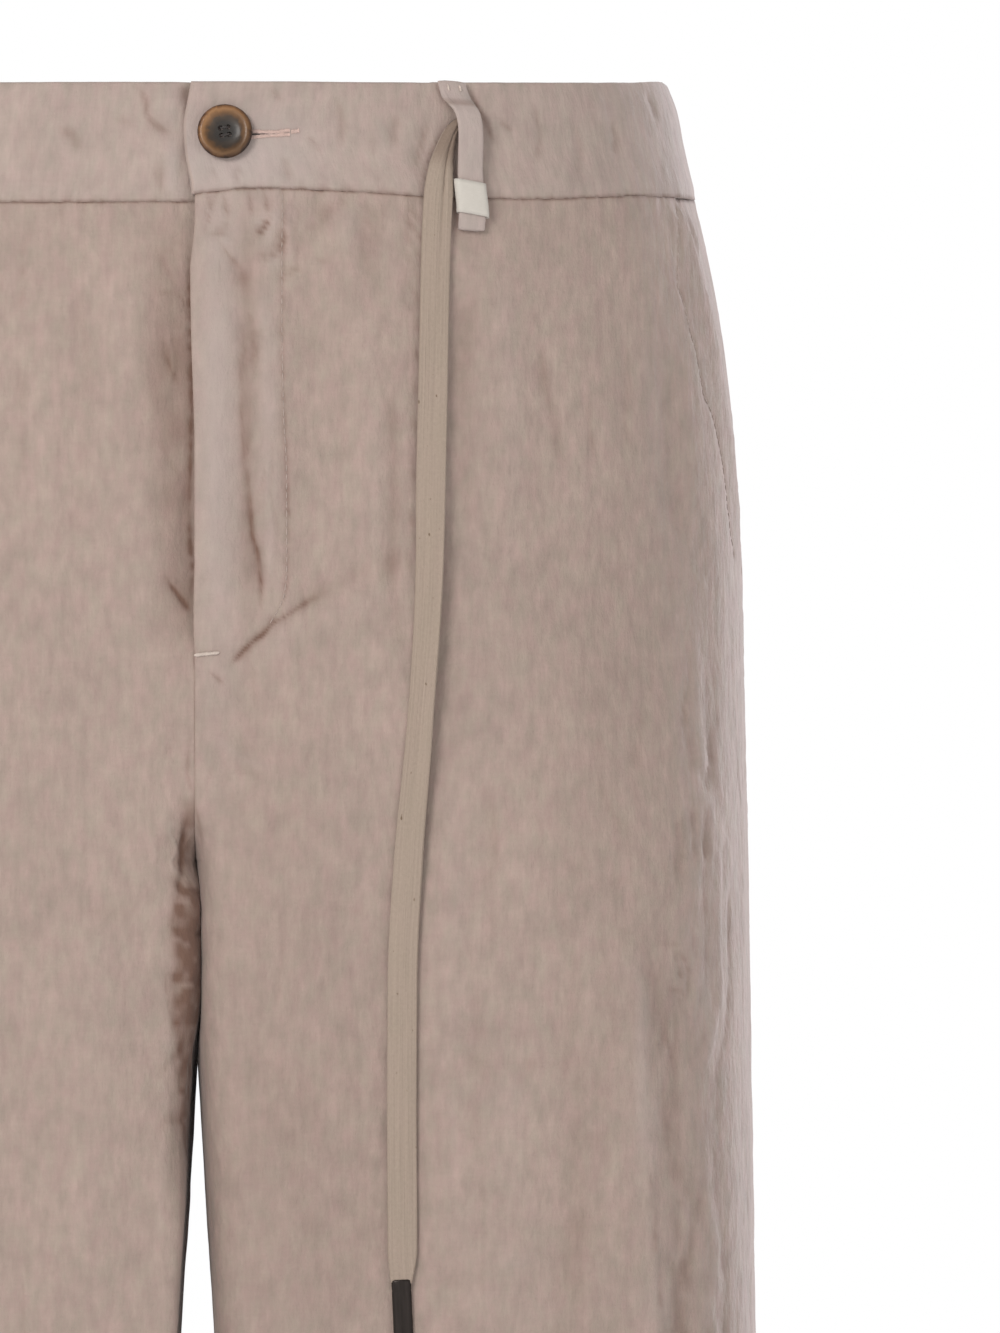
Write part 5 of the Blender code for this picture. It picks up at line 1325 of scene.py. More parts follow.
# Where the band lies in shadow beside the loop and the drawstring, as creases whose height is how dark they
# are.
BAND_DARK_LINES = {
    LEFT: [
        crease(0.60, 0.7, FIRM, (76.2, 0.5), (78.4, 4.7), (81.5, 10.5)),
        crease(0.50, 0.8, FIRM, (82.6, 12.0), (78.0, 17.0), (74.2, 24.0), (72.2, 30.0), (71.4, 37.0)),
        crease(0.35, 0.7, FIRM, (87.0, 1.0), (89.0, 7.0), (92.4, 13.0), (93.6, 22.0)),
    ],
    RIGHT: [crease(0.35, 0.7, FIRM, (18.3, 1), (15.9, 5.5), (14.6, 11), (9.0, 15))],
}
PALE_BAND = {LEFT: [(12, 24, 26, 16, 1.0), (148, 18, 6, 22, 0.25)], RIGHT: [(1, 26, 6, 16, 0.2)]}
BAND_COLUMN_STEP = 0.0013
# How far the left half's front edge runs past the middle plane, by its drop.
BAND_EDGE = table_curve([(0.0, 0.0001), (0.0063, 0.0013), (0.0142, 0.0025), (0.0220, 0.0021),
                         (0.0304, 0.0005),
                         (0.0361, -0.0011)])


def band_section():
    """The band's cross-section as drops and insets: up the outside, over the folded top and down the
    inside."""
    radius = BAND_THICK / 2
    turn = np.linspace(0.0, math.pi, BAND_TURN_STEPS * 2 + 1)[1:-1]
    foot = BAND_HEIGHT - SEWN_GAP / 2
    drops = np.concatenate([np.linspace(foot, radius, BAND_ROWS), radius * (1.0 - np.sin(turn)),
                            np.linspace(radius, foot, INNER_BAND_ROWS)])
    insets = np.concatenate([np.zeros(BAND_ROWS), radius * (1.0 - np.cos(turn)),
                             np.full(INNER_BAND_ROWS, BAND_THICK)])
    return drops, insets


def band_grid(side, face, drops, arcs_share, past_at):
    """The plain surface at the band's drops, from the middle (share 0) to the side seam (share 1)."""
    plain, arcs = [], []
    for drop in drops:
        row = outline_row(side, face, drop, past_at(drop))
        at = (row[2][-1] - SEWN_GAP / 2) * (1.0 - arcs_share)
        plain.append(row_points(row, at, drop))
        arcs.append(at)
    return np.array(plain), np.array(arcs)


def waistband_half(side):
    """One half of the waistband: a folded strip from the centre front round the side to the centre back."""
    section_rows, insets = band_section()
    past = (lambda drop: float(BAND_EDGE(drop))) if side == LEFT else (lambda drop: UNDER_BAND)
    length = outline_row(side, FRONT, 0.018)[2][-1]
    shares = np.linspace(0.0, 1.0, round(length / BAND_COLUMN_STEP))
    parts = []
    for face, past_at in ((FRONT, past), (BACK, lambda drop: 0.0)):
        plain, arcs = band_grid(side, face, section_rows, shares, past_at)
        grid_drops = np.repeat(section_rows[:, None], len(shares), axis=1)
        level, _ = band_grid(side, face, np.linspace(BAND_HEIGHT, 0.0, BAND_ROWS), shares, past_at)
        upright = outward_normals(level) * face
        rows = (BAND_HEIGHT - grid_drops) / BAND_HEIGHT * (BAND_ROWS - 1)
        rows = np.clip(rows, 0, BAND_ROWS - 1).round().astype(int)
        normals = upright[rows, np.arange(len(shares))[None, :]]
        xs = plain[:, :, 0]
        table = BAND_CREASES if face == FRONT else BACK_BAND_CREASES
        folds = crease_relief(table[side], side, face, arcs, grid_drops)
        u = arcs + (0.0 if face == FRONT else 1.0)
        fine = 0.75 * crumple(u, grid_drops * 0.8, 500 + 9 * side + 40 * face)
        fine += seam_pucker(u, BAND_HEIGHT - grid_drops, 520 + side)
        fine += 0.6 * seam_pucker(u, grid_drops, 540 + side)
        over = insets[:, None] < BAND_THICK / 2
        proud = BAND_PROUD * (0.2 + 0.8 * ease((BAND_HEIGHT - grid_drops) / BAND_FOOT_TAPER))
        relief = proud + np.where(over, 1.6 * folds + fine, 0.5 * fine)
        dotted = 0.75 + 0.5 * noise(u / 0.0013, u * 0, 570 + side)
        if face == FRONT and side == LEFT:
            relief = relief + BAND_LIFT * (1.0 - ease((xs - UNDER_BAND) / (BAND_LIFT_END - UNDER_BAND)))
        elif face == FRONT:
            relief = relief - BAND_DIVE * (1.0 - ease((xs + 0.0008) / DIVE_WIDTH))
        points = plain + normals * (relief - insets[:, None])[:, :, None]
        if face == FRONT:
            lowered = BAND_SEAM[side](np.maximum(xs, 0.0)) * ease(grid_drops / BAND_HEIGHT)
            points[:, :, 2] -= lowered
        at_side = np.abs(plain[:, :, 0]) > half_width_at(0.0) / 2
        shift = sum(s.rise * np.exp(-((plain[:, :, 1] / s.reach) ** 2)) for s in TOP_EDGE)
        points[:, :, 2] += (at_side * shift - TOP_LOWERED) * (1.0 - grid_drops / BAND_HEIGHT)
        points[:, :, 0] = side * (points[:, :, 0] + SEWN_GAP / 2)
        # Painted shade: a dotted line along the band seam, and the band's lines of shadow beside the loop and
        # the drawstring.
        seam_dye_and_shade = seam_line(BAND_HEIGHT - grid_drops, SEAM_SHADE, 0.5) * over * dotted
        pale = np.zeros(xs.shape)
        if face == FRONT:
            pale = patches(PALE_BAND[side], xs, grid_drops)
            seam_dye_and_shade = seam_dye_and_shade + crease_relief(BAND_DARK_LINES[side], side, face, arcs, grid_drops) * over / MM
        parts.append((points, pale, grid_drops, relief * over, seam_dye_and_shade, normals * (side, 1.0, 1.0)))
    join = [np.concatenate([a[:, :-1], b[:, ::-1]], axis=1) for a, b in zip(*parts)]
    points, pale, grid_drops, relief, seam_dye_and_shade, normals = join
    along = way_along(points[10])
    rings = points.transpose(1, 0, 2)
    end_steps = np.linspace(0.0, 1.0, 5)[1:]
    first = squeezed_end(rings[0], rings[0] - rings[1], insets, normals[:, 0], end_steps)
    rings = np.concatenate([first[::-1], rings])
    along = np.concatenate([np.full(len(first), 0.0), along])
    uvs = np.stack([np.repeat(along[:, None], rings.shape[1] + 1, axis=1),
                    np.repeat(np.append(section_rows, BAND_HEIGHT)[None, :], len(along), axis=0)], axis=2)
    marks = shade_and_pale_marks(relief, seam_dye_and_shade, pale)
    pad = np.zeros((len(first), rings.shape[1]))
    marks = {label: np.concatenate([pad, field.T]) for label, field in marks.items()}
    piece = tube("waistband_" + SIDE_WORD[side], rings, uvs, turned=side == LEFT, attributes=marks)
    piece.data.materials.append(band_linen)
    front_points, front_normals = parts[0][0], parts[0][5]
    rows = slice(0, BAND_ROWS)
    order = slice(None, None, -1)
    return Panel(side, FRONT, section_rows[rows][order], None, np.abs(front_points[rows, :, 0])[order],
                 front_points[rows][order], front_normals[rows][order], piece)


def squeezed_end(ring, way, insets, normals, steps):
    """Rings that round a folded strip off at its end."""
    way = unit(way)
    radius = BAND_THICK / 2
    rings = []
    for step in steps:
        angle = step * math.pi / 2 * 0.96
        pull = (insets - radius) * (1.0 - math.cos(angle))
        rings.append(ring + normals * pull[:, None] + way * (radius * math.sin(angle)))
    return np.array(rings)


bands = {side: waistband_half(side) for side in (LEFT, RIGHT)}

# ---------------------------------------------------------------- the pieces behind the pocket mouths

FACING_ROWS = 120
FACING_COLUMNS = 34
FACING_CREASES = [
    crease(-0.9, 1.8, FIRM, (154.0, 40), (158.0, 50), (161.0, 56)),
    crease(0.8, 2.2, SOFT, (157.0, 40), (161.5, 54)),
    crease(-0.9, 1.8, FIRM, (158.5, 60), (163.5, 72), (166.5, 80)),
    crease(0.8, 2.0, SOFT, (160.0, 58), (165.0, 70)),
    crease(-0.8, 1.8, FIRM, (162.0, 76), (166.0, 90), (168.0, 98)),
    crease(0.7, 2.4, SOFT, (165.0, 84), (168.0, 100)),
]


def pocket_facing(side):
    """The hip piece that shows behind the slanting pocket mouth and runs on under the front's edge."""
    drops = np.linspace(BAND_HEIGHT + SEWN_GAP / 2, FACING_BOTTOM, FACING_ROWS)
    shares = np.linspace(0.0, 1.0, FACING_COLUMNS)
    plain, arcs, sunk = [], [], []
    for drop in drops:
        mouth = float(pocket_mouth_arc(drop))
        row = outline_row(side, FRONT, drop)
        at = (mouth + POCKET_UNDERLAP) * (1.0 - shares) + SEWN_GAP / 2 * shares
        plain.append(row_points(row, at, drop))
        arcs.append(at)
        tucked = 1.0 - ease(mouth / 0.007 - 1.0)
        sunk.append((CLOTH + 0.0006) * np.maximum(ease(at / max(mouth, 0.007)), tucked))
    plain, arcs, sunk = np.array(plain), np.array(arcs), np.array(sunk)
    normals = outward_normals(plain)
    grid_drops = np.repeat(drops[:, None], len(shares), axis=1)
    shown = ease((pocket_mouth_arc(grid_drops) - arcs) / 0.004) * ease(arcs / 0.006)
    folds = crease_relief(FACING_CREASES, side, FRONT, arcs, grid_drops) * shown
    relief = folds - sunk + crumple(arcs, grid_drops, 700 + side) * shown
    points = plain + normals * relief[:, :, None]
    points[:, :, 0] = side * (points[:, :, 0] + SEWN_GAP / 2)
    normals = normals * (side, 1.0, 1.0)
    uvs = np.stack([arcs * side, grid_drops], axis=2)
    # Painted shadow on the facing beside and under the front's edge, and painted shade lines along its seams.
    under = seam_line(np.maximum(pocket_mouth_arc(grid_drops) - arcs, 0.0), 0.0022, 0.55)
    seam_dye_and_shade = under + seam_line(arcs, SEAM_SHADE, 0.3) + seam_line(grid_drops - BAND_HEIGHT, 0.0007, 0.6)
    piece = shell("pocket_facing_" + SIDE_WORD[side], points, normals, relief,
                  np.full(relief.shape, CLOTH), uvs, side < 0, shade_and_pale_marks(folds, seam_dye_and_shade))
    piece.data.materials.append(linen)
    return piece


facings = {side: pocket_facing(side) for side in (LEFT, RIGHT)}

# ---------------------------------------------------------------- strips: belt loops, label and drawstring


def plain_place(side, face, drop, x=None, arc=None):
    """A place on the plain surface, with its unit vectors across the cloth and out of it."""

    def place(at_drop, shift=0.0):
        row = outline_row(side, face, at_drop)
        at = (float(arc_at_x(row, x)) if arc is None else arc) + shift
        return np.array([side * np.interp(at, row[2], row[0]), np.interp(at, row[2], row[1]),
                         height(at_drop)])

    step = 0.002
    down = place(drop + step) - place(max(drop - step, 0.0))
    inward = place(drop, step) - place(drop, -step)
    out = unit(side * face * np.cross(down, inward))
    return place(drop), unit(np.cross(out, down)), out


def centre_back_place(drop):
    """The same at the centre back seam."""
    low, high = drop + 0.002, max(drop - 0.002, 0.0)
    down = np.array([0.0, depth_at[BACK](low) - depth_at[BACK](high), high - low])
    across = np.array([1.0, 0.0, 0.0])
    return np.array([0.0, float(depth_at[BACK](drop)), height(drop)]), across, unit(np.cross(across, down))


def strip_ring(width, thick, bends, count=9):
    """A flat strip's rounded cross-section as (across, out) pairs; bends lifts it at each share of its
    width."""
    shares = np.linspace(-1.0, 1.0, count)
    edge = thick / 2
    line_across = shares * (width / 2 - edge)
    line_out = bends(shares)
    slope = np.gradient(line_out, line_across)
    normal = unit(np.stack([-slope, np.ones(count)], axis=1))
    upper = np.stack([line_across, line_out], axis=1) + normal * edge
    lower = np.stack([line_across, line_out], axis=1) - normal * edge
    right = [[line_across[-1] + edge * math.cos(a), line_out[-1] + edge * math.sin(a)] for a in (0.8, 0.0,
                                                                                                 -0.8)]
    left = [[line_across[0] - edge * math.cos(a), line_out[0] + edge * math.sin(a)] for a in (-0.8, 0.0, 0.8)]
    return np.concatenate([upper, right, lower[::-1], left])


def sweep(name, middles, acrosses, outs, sections, material, attributes=None):
    """A closed strip: each section's (across, out) pairs laid out at its station."""
    rings = np.array([
        m + s[:, :1] * a + s[:, 1:] * o for m, a, o, s in zip(middles, acrosses, outs, sections)
    ])
    along = way_along(middles)
    around = np.array([way_along(np.vstack([s, s[:1]])) for s in sections])
    uvs = np.stack([around, np.repeat(along[:, None], around.shape[1], axis=1)], axis=2)
    facing = np.cross(rings[1, 1] - rings[0, 1], rings[0, 2] - rings[0, 1]) @ outs[0]
    piece = tube(name, rings, uvs, turned=facing < 0, attributes=attributes)
    piece.data.materials.append(material)
    return piece


def rounded_ends(middles, acrosses, outs, sections, radius):
    """Adds a station at each end that closes the strip softly."""
    first, last = unit(middles[0] - middles[1]), unit(middles[-1] - middles[-2])
    middles = np.concatenate([[middles[0] + first * radius], middles, [middles[-1] + last * radius]])
    acrosses = np.concatenate([acrosses[:1], acrosses, acrosses[-1:]])
    outs = np.concatenate([outs[:1], outs, outs[-1:]])
    sections = [sections[0] * 0.55, *sections, sections[-1] * 0.55]
    return middles, acrosses, outs, sections


Station = namedtuple("Station", "drop rise width shift", defaults=(0.0,))
PLAIN_LOOP = [
    Station(0.0004, 0.0016, 0.0098), Station(0.0040, 0.0020, 0.0098), Station(0.0075, 0.0026, 0.0098),
    Station(0.0100, 0.0042, 0.0096), Station(0.0140, 0.0048, 0.0095), Station(0.0200, 0.0046, 0.0094),
    Station(0.0270, 0.0042, 0.0094), Station(0.0340, 0.0036, 0.0095), Station(0.0390, 0.0031, 0.0096),
    Station(0.0425, 0.0022, 0.0097), Station(0.0450, 0.0016, 0.0098), Station(0.0472, 0.0014, 0.0098),
]
# The left front loop leans: it is sewn on a little further in at its top, and slips sideways as it folds
# over.
LEANING_LOOP = [
    Station(0.0010, 0.0017, 0.0094, -0.0073), Station(0.0035, 0.0019, 0.0096, -0.0067),
    Station(0.0060, 0.0024, 0.0098, -0.0059), Station(0.0074, 0.0034, 0.0096, -0.0053),
    Station(0.0090, 0.0046, 0.0091, -0.0043), Station(0.0115, 0.0052, 0.0086, -0.0029),
    Station(0.0160, 0.0051, 0.0084, -0.0020), Station(0.0210, 0.0048, 0.0084, -0.0018),
    Station(0.0270, 0.0045, 0.0084, -0.0018), Station(0.0330, 0.0041, 0.0086, -0.0015),
    Station(0.0380, 0.0036, 0.0089, -0.0009), Station(0.0425, 0.0029, 0.0090, -0.0005),
    Station(0.0455, 0.0021, 0.0090, -0.0004), Station(0.0474, 0.0017, 0.0090, -0.0004),
]
LOOP_THICK = 0.0015
LOOP_STATIONS = 46
LOOP_PALE = 0.8
LOOP_FOLD = 0.0078
LOOP_FOLD_SHADE = 0.45


def belt_loop(name, place_at, stations, seed):
    """A belt loop: a folded strip, sewn down at its top and foot and standing off between them."""
    at = np.linspace(stations[0].drop, stations[-1].drop, LOOP_STATIONS)
    values = {
        key: smooth_curve([s.drop for s in stations], [getattr(s, key) for s in stations])(at)
        for key in ("rise", "shift", "width")
    }
    middles, acrosses, outs, sections = [], [], [], []
    for k, drop in enumerate(at):
        point, across, out = place_at(drop)
        wobble = 0.00012 * float(noise(np.array(drop / 0.006), np.array(seed * 1.0), 61))
        middles.append(point + out * (values["rise"][k] + wobble) + across * values["shift"][k])
        acrosses.append(across)
        outs.append(out)
        crown = 0.00016 + 0.0001 * float(noise(np.array(drop / 0.005), np.array(seed + 0.5), 62))
        sections.append(strip_ring(values["width"][k], LOOP_THICK, lambda s, c=crown: c * (1 - s**2), 11))
    stack = rounded_ends(np.array(middles), np.array(acrosses), np.array(outs), sections, 0.0003)
    pale = np.full((len(stack[0]), len(stack[3][0])), LOOP_PALE)
    # Painted shade along the line where the loop folds over.
    folded = LOOP_FOLD_SHADE * np.exp(-((np.concatenate([at[:1], at, at[-1:]]) - LOOP_FOLD) / 0.0008) ** 2)
    folded = np.repeat(folded[:, None], pale.shape[1], axis=1)
    marks = {"sunk": folded, "worn": pale * (1.0 - folded)}
    return sweep(name, *stack, band_linen, marks), (at, np.array(middles), np.array(acrosses), np.array(outs))


loops = {}
loop_lines = {}
for side, word in SIDE_WORD.items():
    name = "belt_loop_front_" + word
    stations = LEANING_LOOP if side == LEFT else PLAIN_LOOP
    loops[name], loop_lines[name] = belt_loop(
        name, lambda drop, side=side: plain_place(side, FRONT, drop, x=FRONT_LOOP_X), stations, 3 + side)
    name = "belt_loop_back_" + word
    loops[name], loop_lines[name] = belt_loop(
        name, lambda drop, side=side: plain_place(side, BACK, drop, arc=BACK_LOOP_ARC), PLAIN_LOOP, 7 + side)
name = "belt_loop_centre_back"
loops[name], loop_lines[name] = belt_loop(name, centre_back_place, PLAIN_LOOP, 11)

LABEL_TOP = 0.0327
LABEL_FOOT = 0.0430
LABEL_WIDTH = 0.0107
LABEL_WALL = 0.0006
LABEL_TURN = math.radians(6.5)
LABEL_STATIONS = 9


def folded_label():
    """A small blank tab folded round the foot of the left front loop, sitting a little askew."""
    at, middles, acrosses, outs = loop_lines["belt_loop_front_left"]
    outer, inner = [], []
    centre = (LABEL_TOP + LABEL_FOOT) / 2
    for drop in np.linspace(LABEL_TOP, LABEL_FOOT, LABEL_STATIONS):
        middle = np.array([np.interp(drop, at, middles[:, k]) for k in range(3)])
        across = unit(np.array([np.interp(drop, at, acrosses[:, k]) for k in range(3)]))
        out = unit(np.array([np.interp(drop, at, outs[:, k]) for k in range(3)]))
        down = np.cross(across, out)
        down = down * (1.0 if down[2] < 0 else -1.0)
        lean = math.tan(LABEL_TURN)
        swing = (centre - drop) * lean * 0.4
        for store, grow in ((outer, LABEL_WALL + 0.0001), (inner, 0.0001)):
            ring = strip_ring(LABEL_WIDTH + 2 * grow - 2 * LABEL_WALL, LOOP_THICK + 0.0005 + 2 * grow,
                              lambda s: 0.00012 * (1 - s**2), 11)
            tilt = ring[:, :1] * -lean
            store.append(middle + (ring[:, :1] - swing) * across + ring[:, 1:] * out - tilt * down)
    rings = np.concatenate([np.array(outer), np.array(inner)[::-1]])
    count, around = rings.shape[:2]
    u = np.linspace(0.0, 2 * (LABEL_WIDTH + LOOP_THICK), around + 1)
    v = np.concatenate([np.linspace(0, LABEL_FOOT - LABEL_TOP, count // 2)] * 2)
    uvs = np.stack(np.broadcast_arrays(u[None, :], v[:, None]), axis=2)
    facing = np.cross(rings[1, 5] - rings[0, 5], rings[0, 6] - rings[0, 5]) @ outs[30]
    piece = tube("label", rings, uvs, turned=facing < 0, looped=True)
    piece.data.materials.append(label_cloth)
    return piece


label = folded_label()

# How the tape is turned about its own length, folded along itself, and how far it stands off, by its drop.
TAPE_ROLL = table_curve([(0.0126, 0.0), (0.03, 6.0), (0.08, 3.0), (0.12, 10.0), (0.15, 30.0), (0.19, 34.0),
                         (0.22, 24.0), (0.26, 8.0), (0.31, 0.0), (0.3798, -4.0)])
TAPE_FOLD = table_curve([(0.0126, 1.0), (0.0215, 0.9), (0.0294, 0.55), (0.040, 0.22), (0.060, 0.08),
                         (0.12, 0.0),
                         (0.3798, 0.0)])
TAPE_STATIONS = 260
TAPE_CLEAR = 0.0011


def tape_line():
    """The drawstring's stations: middle points, across and out vectors, widths, thicknesses and drops."""
    spots = np.array([[s.x, s.drop] for s in TAPE_ROUTE])
    way = way_along(spots)
    at = np.linspace(0.0, way[-1], TAPE_STATIONS)
    xs, drops = smooth_curve(way, spots[:, 0])(at), smooth_curve(way, spots[:, 1])(at)
    widths = smooth_curve(way, [s.width for s in TAPE_ROUTE])(at)
    thicks = smooth_curve(way, [s.thick for s in TAPE_ROUTE])(at)
    middles, outs = [], []
    for x, drop in zip(xs, drops):
        point, _, out = plain_place(LEFT, FRONT, drop, x=x)
        middles.append(point)
        outs.append(out)
    middles, outs = np.array(middles), np.array(outs)
    return at, xs, drops, widths, thicks, middles, outs


def cloth_under(xs, drops, half_width):
    """How far the cloth beneath stands out from the plain surface, at its highest across the tape."""
    front = fronts[LEFT]
    highest = np.full(len(xs), -1.0)
    for shift in (-half_width, -half_width / 2, 0.0, half_width / 2, half_width):
        for k, (x, drop) in enumerate(zip(xs, drops)):
            if drop < BAND_HEIGHT + 0.001:
                stands = BAND_PROUD + 0.0004
            else:
                spot, _, _ = on_panel(front, [drop], xs=[x + shift])
                point, _, out = plain_place(LEFT, FRONT, drop, x=x + shift)
                stands = float((spot[0] - point) @ out)
            highest[k] = max(highest[k], stands)
    return highest


def drawstring():
    """The flat drawstring: folded on itself where it comes out from behind the loop, then opening out
    flat."""
    at, xs, drops, widths, thicks, middles, outs = tape_line()
    picked = np.linspace(0, len(at) - 1, 66).round().astype(int)
    under = np.interp(at, at[picked], cloth_under(xs[picked], drops[picked], TAPE_WIDTH / 2))
    under = np.convolve(np.pad(under, 6, mode="edge"), np.ones(13) / 13, mode="valid")
    roll = np.radians(TAPE_ROLL(drops))
    standing = under + TAPE_CLEAR * ease(at / 0.03) + thicks / 2 + np.sin(np.abs(roll)) * widths * 0.36
    standing += 0.0005 * noise(drops / 0.05, drops * 0, 77)
    middles = middles + outs * standing[:, None]
    along = unit(np.gradient(middles, axis=0))
    acrosses = unit(np.cross(along, outs))
    acrosses = acrosses * np.where(acrosses[:, :1] < 0, -1.0, 1.0)
    outs = unit(np.cross(acrosses, along) * np.sign(np.sum(np.cross(acrosses, along) * outs, axis=1))[:,
                                                                                                      None])
    turned_across = acrosses * np.cos(roll)[:, None] + outs * np.sin(roll)[:, None]
    turned_out = outs * np.cos(roll)[:, None] - acrosses * np.sin(roll)[:, None]
    sections, marks = [], []
    for k, drop in enumerate(drops):
        fold = float(TAPE_FOLD(drop))
        ripple = 0.00012 * float(noise(np.array(drop / 0.012), np.array(0.3), 78))

        def bends(s, fold=fold, ripple=ripple):
            valley = -0.0016 * fold * np.exp(-((s - 0.35) / 0.16) ** 2)
            crown = 0.0011 * fold * (1 - (s + 0.3) ** 2) + 0.0004 * fold * np.exp(-((s - 0.8) / 0.2) ** 2)
            return valley + crown + (0.00018 + ripple) * (1 - s**2)

        sections.append(strip_ring(widths[k], min(thicks[k], TAPE_THICK), bends, 25))
        shares = np.linspace(-1.0, 1.0, 25)
        # Painted shade in the tape's fold and where it comes out from behind the loop, and a little along its
        # edges.
        fold_shade = 0.75 * fold * np.exp(-((shares - 0.35) / 0.12) ** 2) + 0.7 * ease((fold - 0.5) / 0.45)
        marks.append(np.concatenate([fold_shade, [0.1, 0.1, 0.1], fold_shade * 0, [0.1, 0.1, 0.1]]))
    marks = np.array(marks)
    marks = np.concatenate([marks[:1], marks, marks[-1:]])
    stack = rounded_ends(middles, turned_across, turned_out, sections, 0.0003)
    piece = sweep("drawstring", *stack, tape_cloth, {"sunk": marks, "worn": marks * 0})
    return piece, middles, turned_across, turned_out


tape, tape_middles, tape_acrosses, tape_outs = drawstring()
# How far along the tip each of its rings lies, and how large the ring is.
TIP_RINGS = [
    (0.0, 0.80), (0.0002, 0.94), (0.0006, 0.99), (0.0016, 1.0), (0.0030, 1.0), (0.0034, 0.965), (0.0040, 1.0),
    (0.012, 1.0), (0.020, 1.0), (0.0246, 1.0), (0.0254, 0.97), (0.0258, 0.90), (0.0260, 0.76),
]
TIP_ROUNDNESS = 0.8
TIP_LEAN = 0.09


def drawstring_tip():
    """The flattened metal end crimped on the drawstring: an oval tube, pressed and rounded at both ends."""
    along = unit(tape_middles[-1] - tape_middles[-6])
    across, out = tape_acrosses[-1], tape_outs[-1]
    along = unit(along + across * TIP_LEAN)
    across = unit(across - along * (across @ along))
    out = np.cross(across, along) * np.sign(np.cross(across, along) @ out)
    start = tape_middles[-1] - along * 0.0010
    turn = np.linspace(0.0, 2 * math.pi, 49)[:-1]
    oval = np.stack([np.cos(turn), np.sin(turn)], axis=1)
    oval = np.sign(oval) * np.abs(oval) ** TIP_ROUNDNESS * (TIP_WIDTH / 2, TIP_THICK / 2)
    flat = oval[:, :1] * across + oval[:, 1:] * out
    rings = np.array([start + along * length + flat * size for length, size in TIP_RINGS])
    lengths = [length for length, _ in TIP_RINGS]
    around = np.linspace(0.0, 2 * (TIP_WIDTH + TIP_THICK), 49)
    uvs = np.stack(np.broadcast_arrays(around[None, :], np.array(lengths)[:, None]), axis=2)
    facing = np.cross(rings[5, 12] - rings[4, 12], rings[4, 13] - rings[4, 12]) @ (rings[4, 12] - start)
    piece = tube("drawstring_tip", rings, uvs, turned=facing < 0)
    piece.data.set_sharp_from_angle(angle=math.radians(50))
    piece.data.materials.append(tip_metal)
    return piece


tip = drawstring_tip()

# ---------------------------------------------------------------- the button

BUTTON_STEPS = 72
HOLE_RADIUS = 0.00085
HOLE_OUT = 0.0017
HOLE_TURN = 8.0
# The button's section from its middle, over the rim and back: shares of its radius and of its thickness.
BUTTON_PROFILE = [
    (0.0, 0.58), (0.30, 0.585), (0.50, 0.62), (0.62, 0.74), (0.70, 0.90), (0.78, 0.985), (0.85, 1.0),
    (0.92, 0.95),
    (0.975, 0.80), (1.0, 0.56), (0.985, 0.33), (0.93, 0.12), (0.84, 0.0), (0.30, 0.0), (0.0, 0.0),
]


def button_place():
    """Where the button is sewn on the band: its foot, and its across, up and out vectors."""
    point, across, out = plain_place(LEFT, FRONT, BUTTON_DROP, x=BUTTON_X)
    return point + out * (BAND_PROUD + BAND_LIFT + SEAM_GAP), across, np.cross(out, across), out


def button_blank():
    """The button's round body, lying flat round the origin with its face up."""
    turn = np.linspace(0.0, 2 * math.pi, BUTTON_STEPS + 1)[:-1]
    body = bmesh.new()
    rings = []
    for out_share, level_share in BUTTON_PROFILE:
        out_by, level = BUTTON_RADIUS * out_share, SHANK_HEIGHT + BUTTON_THICK * level_share
        angles = turn if out_by else [0.0]
        rings.append([body.verts.new((out_by * math.cos(a), out_by * math.sin(a), level)) for a in angles])
    for upper, lower in zip(rings, rings[1:]):
        for k in range(BUTTON_STEPS):
            n = (k + 1) % BUTTON_STEPS
            corners = [upper[k % len(upper)], lower[k % len(lower)], lower[n % len(lower)],
                       upper[n % len(upper)]]
            body.faces.new(list(dict.fromkeys(corners)))
    return bmesh_object("button", body)


def hole_drill():
    """Four pins where the button's holes are."""
    pins = bmesh.new()
    for quarter in range(4):
        angle = math.radians(45 + 90 * quarter + HOLE_TURN)
        middle = (HOLE_OUT * math.cos(angle), HOLE_OUT * math.sin(angle), SHANK_HEIGHT + BUTTON_THICK / 2)
        bmesh.ops.create_cone(pins, cap_ends=True, segments=20, radius1=HOLE_RADIUS, radius2=HOLE_RADIUS,
                              depth=BUTTON_THICK * 2, matrix=Matrix.Translation(middle))
    return bmesh_object("drill", pins)


def button():
    """A four-hole horn button: a rounded rim round a hollowed face, on its thread shank."""
    foot, across, up, out = button_place()
    piece, drill = button_blank(), hole_drill()
    cut = piece.modifiers.new("holes", "BOOLEAN")
    cut.object = drill
    cut.operation = "DIFFERENCE"
    finished = with_modifiers_applied(piece).data
    bpy.data.objects.remove(drill)
    layer = finished.uv_layers.new(name="cloth")
    spots = np.array([finished.vertices[loop.vertex_index].co[:2] for loop in finished.loops], np.float32)
    layer.data.foreach_set("uv", spots.ravel())
    finished.shade_smooth()
    finished.set_sharp_from_angle(angle=math.radians(40))
    seat = Matrix(np.stack([across, up, out], axis=1).tolist()).to_4x4()
    finished.transform(Matrix.Translation(Vector(foot)) @ seat)
    finished.materials.clear()
    finished.materials.append(horn)
    return piece


button_piece = button()

# ---------------------------------------------------------------- stitches


